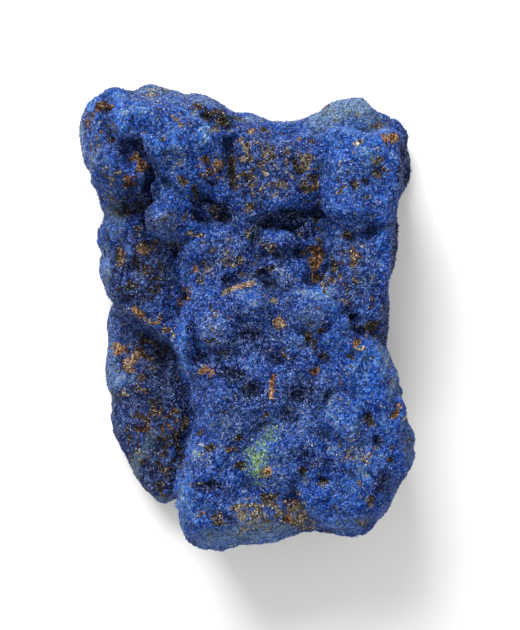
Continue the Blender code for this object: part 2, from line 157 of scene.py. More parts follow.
# Cracks (sunk) and rims (raised): the line that they follow on the chart, half width, and depth or height.
CRACKS = [
    ([(18.4, 16.4), (18.7, 12), (18.3, 8)], 0.6, 1.5),
    ([(-14.6, -8), (-13.2, -14), (-11.7, -20), (-12.3, -27), (-13.9, -33), (-15, -38)], 1.3, 2),
    ([(-11.4, -1.8), (-10.4, -4.6), (-9.7, -7), (-8.5, -9.2)], 0.7, 1.3),
    ([(12.3, -3.4), (13.8, -6), (15.4, -8.4), (18, -9.8)], 0.8, 1.3),
    ([(17.3, -16.6), (16.5, -20), (16.9, -23.4), (18.2, -26.6)], 0.7, 1.1),
    ([(10.4, -34.4), (11.2, -37), (12.5, -39.6), (13.2, -42), (15, -43.7), (18, -44.8)], 0.8, 2),
    ([(27.2, -3.4), (29, -7), (30.4, -11), (31.1, -15), (31.8, -19)], 0.7, 1.3),
    ([(17, -27.6), (17.2, -29.6), (18, -31.2)], 0.5, 1.2),
    ([(-9, 17.9), (-12, 16.2), (-14, 15.6)], 0.7, 1.2),
    ([(15.4, 36.6), (15.9, 33), (15.6, 28), (16.4, 24)], 0.8, 0.8),
    ([(26.6, -2.4), (27.2, 3), (28.4, 9), (29.8, 15)], 0.5, 0.6),
    ([(2, -6.4), (5, -8.6), (8, -9.6), (11, -9.2)], 0.6, 0.7),
]
RIMS = [
    ([(-3.6, 4.6), (-1.6, 6), (0.6, 6.7), (2.7, 6.2), (4.4, 4.6)], 0.7, 0.9),
    ([(4.8, 4.3), (6.4, 3.1), (7.8, 2.2)], 0.6, 0.6),
    ([(10.2, 3.6), (12, 5), (15, 5.4), (18, 4.6), (19.4, 2.4)], 0.8, 0.7),
    ([(17, -20), (18, -17.9), (20, -16.9), (22.6, -16.7)], 0.5, 0.6),
    ([(25.4, -3.2), (28, -5.5), (29.7, -9), (31.2, -13), (32.8, -17)], 0.7, 0.8),
    ([(24, 18.6), (24, 16), (25.2, 14.2)], 0.5, 0.5),
    ([(-11.8, 17), (-8.4, 17.2)], 0.5, 0.6),
    ([(6, -12.8), (6.3, -15), (6, -17)], 0.4, 0.5),
    ([(-22, 0.6), (-19.8, -1.4), (-17.6, -0.4), (-15, -3.6)], 0.6, 0.7),
    ([(-9.4, 0.6), (-9.6, -3), (-9.2, -6.4)], 0.4, 0.5),
    ([(22.8, -6.2), (24.2, -6.7), (25.4, -6)], 0.4, 0.5),
]
# How far the foot of each runs out, as a share of its size.
KNOB_FOOT, RIM_FOOT, HOLLOW_FOOT, CRACK_FOOT = 1.3, 1.6, 1.35, 1.5
# Ledges: the line of the edge, how far the ground falls to its right, and how far out it stays sunk.
LEDGES = [
    ([(-4.9, 31), (-5, 34), (-5.4, 37), (-7.4, 39.6), (-10, 41.4), (-13, 43.4), (-17, 45.2), (-21, 45.8),
    (-25, 45.6)], 2.2, 4.2),
    ([(-25.4, 46), (-27.4, 44.8), (-27.5, 41), (-26.8, 38), (-25.6, 36)], 1.9, 3.2),
    ([(-21, 37.6), (-19.7, 35), (-19.3, 32.5), (-18.6, 30.6)], 1.7, 3.6),
    ([(-19, 31), (-16.6, 29.8), (-14.6, 28.5), (-12.6, 27), (-11.2, 24.8)], 1.9, 3.6),
    ([(6, 3.6), (4.2, 5.2), (2.7, 6.5), (0.6, 7.1), (-1.6, 6.4), (-3.8, 4.8), (-5.6, 2.6)], 1.7, 3.6),
    ([(-28.6, 2.4), (-24, -0.8), (-21, -3), (-17, -4.7), (-14, -5)], 3.4, 12),
    ([(17.6, 19.2), (20, 18.8), (23, 18.7), (25, 19.2), (28, 20.2)], 1.6, 4.6),
    ([(18.4, 38), (18.8, 34), (18.5, 29), (18.5, 24), (18, 19.6)], 1.3, 4),
    ([(3.4, 22.4), (5.4, 22), (9, 22.4), (12, 23), (14.6, 22.6)], 1.5, 3.6),
    ([(15.8, 24), (15.9, 20), (15.7, 17), (15.8, 15)], 1, 5),
    ([(30, -6), (30, 5), (30.6, 10), (31, 18), (31.8, 22), (32.8, 27), (33, 33), (31.8, 37.4)], 3, 30),
    ([(34.6, -21.5), (33, -17), (31.4, -13), (29.9, -9), (28, -5.4), (25.2, -3)], 2.4, 10),
    ([(20.4, -16.7), (18, -17.8), (16.7, -20), (16.8, -23), (18, -27)], 1.3, 3),
    ([(10.6, -34.6), (11.4, -37), (12.6, -39.6), (13.4, -42), (15, -43.8), (18.4, -45)], 1.7, 5),
    ([(-9, 1.6), (-9.7, -0.6), (-9.6, -3.4), (-9.2, -6.6), (-8, -9)], 1.6, 2.8),
    ([(12.6, 5.6), (10.4, 4), (9.8, 1), (10, -2.4)], 1.1, 2.4),
    ([(16.2, -3.4), (16.4, -6), (17.4, -8.6)], 1.3, 2.4),
    ([(18.6, -8.6), (21.6, -7), (22.6, -3.4), (21.2, -0.4), (19.6, 1.6)], 1.6, 3.4),
    ([(-28.4, 45), (-30, 43), (-31.3, 40), (-31.4, 37), (-31, 33.6)], 1.4, 5),
    ([(-11.6, 24.8), (-8, 23.8), (-4, 22.6), (-1.4, 20.6)], 1.4, 4.6),
]
LEDGE_RUN = 0.9  # how far out of a ledge's edge the ground has fallen
LEDGE_END = 2.5  # how far from its ends a ledge is at its full height
EVEN_GRID, EVEN_PASSES = 0.6 * MM, 7  # faces of the skin while its forms are worked, and its smoothing
FINE_GRID, FINE_PASSES = 0.42 * MM, 2  # the same for the skin that carries the crystals' relief
SPINE_ROUNDS, MOST_SPINE = 12, 0.75  # rounds of averaging that find the ground, and the most off it


def merged_copy(node):
    """A copy of a solid's mesh with its loose triangles joined up."""
    shape = bmesh.new()
    shape.from_mesh(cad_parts[node].data)
    bmesh.ops.remove_doubles(shape, verts=shape.verts, dist=0.01 * MM)
    mesh = bpy.data.meshes.new(node)
    shape.to_mesh(mesh)
    shape.free()
    return mesh


def apply_steps(piece):
    """Makes what the modifiers show the piece's own mesh."""
    graph = bpy.context.evaluated_depsgraph_get()
    piece.data = bpy.data.meshes.new_from_object(piece.evaluated_get(graph))
    piece.modifiers.clear()


def reskin(piece, grid, passes):
    """Lays an even skin over the piece and smooths it."""
    skin = piece.modifiers.new("skin", "REMESH")
    skin.mode = "VOXEL"
    skin.voxel_size = grid
    smooth = piece.modifiers.new("smooth", "SMOOTH")
    smooth.iterations = passes
    apply_steps(piece)


def numbers_of(items, name, width, kind=np.float32):
    """The numbers that a mesh keeps for each of its items, a row for each."""
    found = np.empty(len(items) * width, kind)
    items.foreach_get(name, found)
    return found.reshape(-1, width)


def points_of(mesh):
    """The mesh's points in millimetres."""
    return numbers_of(mesh.vertices, "co", 3).astype(float) / MM


def normals_of(mesh):
    """Which way each point of the mesh faces."""
    return numbers_of(mesh.vertex_normals, "vector", 3).astype(float)


def put_points(mesh, points):
    """Moves the mesh's points to these, in millimetres."""
    mesh.vertices.foreach_set("co", (points * MM).astype(np.float32).ravel())
    mesh.update()


def chart_of(points):
    """Where each point lies on the chart."""
    reach = (MAGNIFIER[2] - CHART_HEIGHT) / (MAGNIFIER[2] - points[:, 2:])
    return CHART_FOOT + (points[:, :2] - MAGNIFIER[:2]) * reach


def off_chart(chart, heights):
    """The place across and along of a point at that height that lies there on the chart."""
    reach = (MAGNIFIER[2] - CHART_HEIGHT) / (MAGNIFIER[2] - heights[:, None])
    return MAGNIFIER[:2] + (chart - CHART_FOOT) / reach


def wandered(points, *layers):
    """Where each point lies on the chart after uneven shifts, each of its own size and reach."""
    chart = chart_of(points)
    for size, reach in layers:
        shift = reach * np.array([noise.noise_vector(Vector(point) / size)[:] for point in points])
        chart = chart + shift[:, :2]
    return chart


def ease(low, high, values):
    """0 below low, 1 above high, and an even curve between."""
    share = np.clip((values - low) / (high - low), 0, 1)
    return share * share * (3 - 2 * share)


def dress_outline(points):
    """Moves the rim of the stone to the outline, and what is inside it less and less."""
    chart = chart_of(points) - OUTLINE_HEART
    angle, radius = np.arctan2(chart[:, 1], chart[:, 0]), np.hypot(chart[:, 0], chart[:, 1])
    slot = ((angle + pi) / (2 * pi) * OUTLINE_STEPS).astype(int) % OUTLINE_STEPS
    reached = np.zeros(OUTLINE_STEPS)
    np.maximum.at(reached, slot, radius)
    reached = np.mean([np.roll(reached, shift) for shift in (-1, 0, 1)], axis=0)
    wanted = np.array(OUTLINE) - OUTLINE_HEART
    wanted_angle = np.arctan2(wanted[:, 1], wanted[:, 0])
    order = np.argsort(wanted_angle)
    middles = (np.arange(OUTLINE_STEPS) + 0.5) / OUTLINE_STEPS * 2 * pi - pi
    goal = np.interp(middles, wanted_angle[order], np.hypot(*wanted[order].T), period=2 * pi)
    change = np.interp(angle, middles, goal / reached, period=2 * pi)
    near_rim = ease(0.7, 0.98, radius / np.interp(angle, middles, reached, period=2 * pi))
    chart *= (1 + (change - 1) * near_rim)[:, None]
    dressed = points.copy()
    dressed[:, :2] = off_chart(chart + OUTLINE_HEART, points[:, 2])
    return dressed


def patch_share(chart, x, y, across, along, turn=0):
    """How far each point is from the middle of an oval patch: 0 there, 1 at its edge."""
    c, s = cos(radians(turn)), sin(radians(turn))
    dx, dy = chart[:, 0] - x, chart[:, 1] - y
    return np.hypot((c * dx + s * dy) / across, (c * dy - s * dx) / along)


def line_share(chart, line, half_width):
    """How far each point is from a line, in half widths."""
    best = np.full(len(chart), 1e9)
    for a, b in zip(np.array(line, float), np.array(line[1:], float)):
        run = b - a
        along = np.clip((chart - a) @ run / (run @ run), 0, 1)
        best = np.minimum(best, np.hypot(*(chart - a - along[:, None] * run).T))
    return best / half_width


def form(share, foot):
    """A round form, full in the middle and gone past its foot."""
    return np.clip(1 - (share / foot) ** 2, 0, 1) ** 2


def ledge_drop(chart, line, drop, reach):
    """How far each point sinks for lying to the right of a ledge's edge."""
    nearest, right, along = np.full(len(chart), 1e9), np.zeros(len(chart)), np.zeros(len(chart))
    corners = np.array(line, float)
    runs = np.diff(corners, axis=0)
    lengths = np.hypot(*runs.T)
    for number, (a, run) in enumerate(zip(corners, runs)):
        share = np.clip((chart - a) @ run / (run @ run), 0, 1)
        off = chart - a - share[:, None] * run
        distance = np.hypot(*off.T)
        closer = distance < nearest
        nearest[closer] = distance[closer]
        right[closer] = (off[:, 0] * run[1] - off[:, 1] * run[0])[closer]
        along[closer] = (lengths[:number].sum() + share * lengths[number])[closer]
    ends = ease(0, LEDGE_END, along) * ease(0, LEDGE_END, lengths.sum() - along)
    fallen = drop * ends * (right > 0) * ease(0, LEDGE_RUN, nearest)
    return fallen * (1 - ease(0.35 * reach, reach, nearest))


def worked(points, facing):
    """The points after every knob, hollow, crack, rim and ledge is worked in, on what faces up."""
    chart = wandered(points, (6, 0.8), (2.2, 0.4))
    lift, sink = np.zeros(len(points)), np.zeros(len(points))
    for x, y, across, along, height, *turn in KNOBS:
        lift += height * form(patch_share(chart, x, y, across, along, *turn), KNOB_FOOT)
    for line, half_width, height in RIMS:
        lift += height * form(line_share(chart, line, half_width), RIM_FOOT)
    for x, y, across, along, depth, *turn in HOLLOWS:
        sink = np.maximum(sink, depth * form(patch_share(chart, x, y, across, along, *turn), HOLLOW_FOOT))
    for line, half_width, depth in CRACKS:
        sink = np.maximum(sink, depth * form(line_share(chart, line, half_width), CRACK_FOOT))
    for ledge in LEDGES:
        lift -= ledge_drop(chart, *ledge)
    moved = points.copy()
    moved[:, 2] += (lift - sink) * facing
    return moved


def neighbour_mean(mesh, values, rounds):
    """Each point's value, averaged with its neighbours' over and over."""
    ends = numbers_of(mesh.edges, "vertices", 2, np.int32)
    count = np.bincount(ends.ravel(), minlength=len(values))[:, None] + 1.0
    for _ in range(rounds):
        total = values.copy()
        for axis in range(values.shape[1]):
            total[:, axis] += np.bincount(ends[:, 0], values[ends[:, 1], axis], len(values))
            total[:, axis] += np.bincount(ends[:, 1], values[ends[:, 0], axis], len(values))
        values = total / count
    return values


def without_spines(mesh):
    """The mesh's points, with each lone spine brought down towards the ground about it."""
    points = points_of(mesh)
    level = neighbour_mean(mesh, points, SPINE_ROUNDS)
    proud = np.linalg.norm(points - level, axis=1)
    return level + (points - level) * np.minimum(1, MOST_SPINE / np.maximum(proud, MOST_SPINE))[:, None]


crust = bpy.data.objects.new("azurite_crust", merged_copy("azurite_specimen"))
bpy.context.scene.collection.objects.link(crust)
reskin(crust, EVEN_GRID, EVEN_PASSES)
put_points(crust.data, dress_outline(points_of(crust.data)))
faces_up = ease(-0.1, 0.3, normals_of(crust.data)[:, 2])
put_points(crust.data, worked(points_of(crust.data), faces_up))
reskin(crust, FINE_GRID, FINE_PASSES)
put_points(crust.data, without_spines(crust.data))

# The relief that the crystals grew: round knobs, beads on them, and grit on the beads, each layer with its
# width and height. How rough they grew is 1 all over, and less or more on these patches of the chart.
RELIEF = {
    "Knob Size": 3.2 * MM, "Knob Height": 0.6 * MM,
    "Bead Size": 1.5 * MM, "Bead Height": 0.38 * MM,
    "Grit Size": 0.7 * MM, "Grit Height": 0.28 * MM,
}
BENDS = {"Knob": 1.2 * MM, "Bead": 0.5 * MM, "Grit": 0.2 * MM}  # how unevenly each layer lies
GROWTH = [
    (21, 43.6, 9, 3, 0.35, 12), (17, 30, 1.8, 7, 0.5), (29, 14, 2, 8, 0.65), (26, 23, 5, 3, 0.8),
    (-22, -20, 7, 20, 0.75), (-24, 8, 6, 8, 0.8), (-20, 43, 9, 4, 0.8), (2, -46, 12, 2, 0.5),
    (18.6, -4.4, 2.4, 2.8, 0.6), (20, -42, 6, 3, 0.6), (-12.6, -38, 2, 9, 0.6, 10), (7, 40, 8, 2, 0.6),
    (5, 30, 7, 8, 1.4), (13, 30, 2.6, 7, 2), (-7, 31, 3, 4, 1.8), (0, 30, 2, 8, 1.7), (0, 13, 9, 5, 1.5),
    (5, 9.6, 3, 2, 1.7), (15.6, 11, 2.2, 5, 1.7), (21, 12, 4, 6, 1.3), (2, -12, 10, 8, 1.25),
    (14, -8, 4, 4, 1.4), (3, -30, 4, 5, 1.3), (24, -25, 5, 6, 1.3), (3, -41, 6, 3, 1.1),
    (11, -40, 3, 4, 1.4), (-5, 42, 5, 3, 1.5, -20), (-29, 40, 3, 5, 1.2),
]
PIT_SIZE, PIT_DEPTH = 5, 0.7  # pits in the worn back, between the high places that the stone lies on
TOP, TOP_GIVE = 40.6, 1.5  # how high the crust may stand freely, and how much higher its highest knob ends
SKIN_TRIANGLES = 195000


def paint(hex_colour):
    """A colour given as sRGB, in the linear light that the shaders take."""
    shares = [int(hex_colour[place:place + 2], 16) / 255 for place in (1, 3, 5)]
    linear = [share / 12.92 if share < 0.04045 else ((share + 0.055) / 1.055) ** 2.4 for share in shares]
    return (*linear, 1)


def add_node(tree, kind, inputs=None, stops=None, **settings):
    """Adds a node with its settings. An input is set to a value, or joined to another node's output."""
    made = tree.nodes.new(kind)
    for name, value in settings.items():
        setattr(made, name, value)
    for name, value in (inputs or {}).items():
        if isinstance(value, bpy.types.NodeSocket):
            tree.links.new(value, made.inputs[name])
        else:
            made.inputs[name].default_value = value
    for number, (place, colour) in enumerate(stops or []):
        ramp = made.color_ramp.elements
        stop = ramp[number] if number < len(ramp) else ramp.new(place)
        stop.position, stop.color = place, paint(colour)
    return made


def new_tree(name, sizes):
    """A Geometry Nodes tree with a named number input for each size, and its first and last nodes."""
    tree = bpy.data.node_groups.new(name, "GeometryNodeTree")
    tree.interface.new_socket("Geometry", in_out="INPUT", socket_type="NodeSocketGeometry")
    tree.interface.new_socket("Geometry", in_out="OUTPUT", socket_type="NodeSocketGeometry")
    for label in sizes:
        tree.interface.new_socket(label, in_out="INPUT", socket_type="NodeSocketFloat")
    return tree, add_node(tree, "NodeGroupInput"), add_node(tree, "NodeGroupOutput")


def growth_tree():
    """Grows the crystals' relief out of a skin, layer on layer."""
    tree, start, end = new_tree("crystal_growth", RELIEF)
    place = add_node(tree, "GeometryNodeInputPosition").outputs["Position"]
    total = 0.0
    for layer, bend in BENDS.items():
        size, height = start.outputs[layer + " Size"], start.outputs[layer + " Height"]
        scale = add_node(tree, "ShaderNodeMath", {0: 1.0, 1: size}, operation="DIVIDE").outputs[0]
        stir = add_node(tree, "ShaderNodeTexNoise", {"Vector": place, "Scale": scale, "Detail": 1.0})
        stir = add_node(tree, "ShaderNodeVectorMath", {0: stir.outputs["Color"], 1: (0.5, 0.5, 0.5)},
                        operation="SUBTRACT")
        stir = add_node(tree, "ShaderNodeVectorMath", {0: stir.outputs[0], "Scale": bend},
                        operation="SCALE")
        bent = add_node(tree, "ShaderNodeVectorMath", {0: place, 1: stir.outputs[0]}, operation="ADD")
        cells = add_node(tree, "ShaderNodeTexVoronoi", {
            "Vector": bent.outputs[0], "Scale": scale, "Smoothness": 0.25}, feature="SMOOTH_F1")
        dome = add_node(tree, "ShaderNodeMath", {0: 0.45, 1: cells.outputs["Distance"]},
                        operation="SUBTRACT")
        lift = add_node(tree, "ShaderNodeMath", {0: dome.outputs[0], 1: height}, operation="MULTIPLY")
        total = add_node(tree, "ShaderNodeMath", {0: total, 1: lift.outputs[0]}, operation="ADD").outputs[0]
    rough = add_node(tree, "GeometryNodeInputNamedAttribute", {"Name": "roughness_of_growth"},
                     data_type="FLOAT").outputs["Attribute"]
    total = add_node(tree, "ShaderNodeMath", {0: total, 1: rough}, operation="MULTIPLY").outputs[0]
    out = add_node(tree, "GeometryNodeInputNormal").outputs["Normal"]
    shift = add_node(tree, "ShaderNodeVectorMath", {0: out, "Scale": total}, operation="SCALE").outputs[0]
    moved = add_node(tree, "GeometryNodeSetPosition", {
        "Geometry": start.outputs["Geometry"], "Offset": shift})
    tree.links.new(moved.outputs["Geometry"], end.inputs["Geometry"])
    return tree


def store(mesh, name, values):
    """Keeps one number for each point of a mesh under that name."""
    kept = mesh.attributes.get(name) or mesh.attributes.new(name, "FLOAT", "POINT")
    kept.data.foreach_set("value", np.asarray(values, np.float32))


def grow(piece, tree, sizes):
    """Runs the tree on the piece with these sizes, and keeps the mesh that it makes."""
    steps = piece.modifiers.new(tree.name, "NODES")
    steps.node_group = tree
    for socket in tree.interface.items_tree:
        if socket.name in sizes:
            steps[socket.identifier] = sizes[socket.name]
    apply_steps(piece)


def fractal_of(points, size, start=0):
    """Uneven noise at each point, mostly within 0.75 either side of 0, that changes over size."""
    return np.array([noise.fractal(Vector(point + start) / size, 0.9, 2, 3) for point in points])


points, normals = points_of(crust.data), normals_of(crust.data)
chart = wandered(points, (5, 0.8))
roughness = np.ones(len(points))
for x, y, across, along, amount, *turn in GROWTH:
    cover = 1 - ease(0.6, 1.3, patch_share(chart, x, y, across, along, *turn))
    roughness += (amount - roughness) * cover
roughness *= 0.55 + 0.45 * ease(0.1, 0.6, normals[:, 2])
store(crust.data, "roughness_of_growth", ease(0, 1.5, points[:, 2]) * roughness)
grow(crust, growth_tree(), RELIEF)
points = points_of(crust.data)
pits = np.array([noise.fractal(Vector(point) / PIT_SIZE, 0.8, 2, 3) for point in points])
points[:, 2] += PIT_DEPTH * ease(-0.1, 0.6, pits) * (1 - ease(0.1, 1.2, points[:, 2]))
high = points[:, 2] > TOP
points[high, 2] = TOP + TOP_GIVE * np.tanh((points[high, 2] - TOP) / TOP_GIVE)
put_points(crust.data, points)
count = sum(len(face.vertices) - 2 for face in crust.data.polygons)
thin = crust.modifiers.new("thin", "DECIMATE")
thin.ratio = SKIN_TRIANGLES / count
thin.use_collapse_triangulate = True
apply_steps(crust)
crust.data.polygons.foreach_set("use_smooth", np.ones(len(crust.data.polygons), bool))

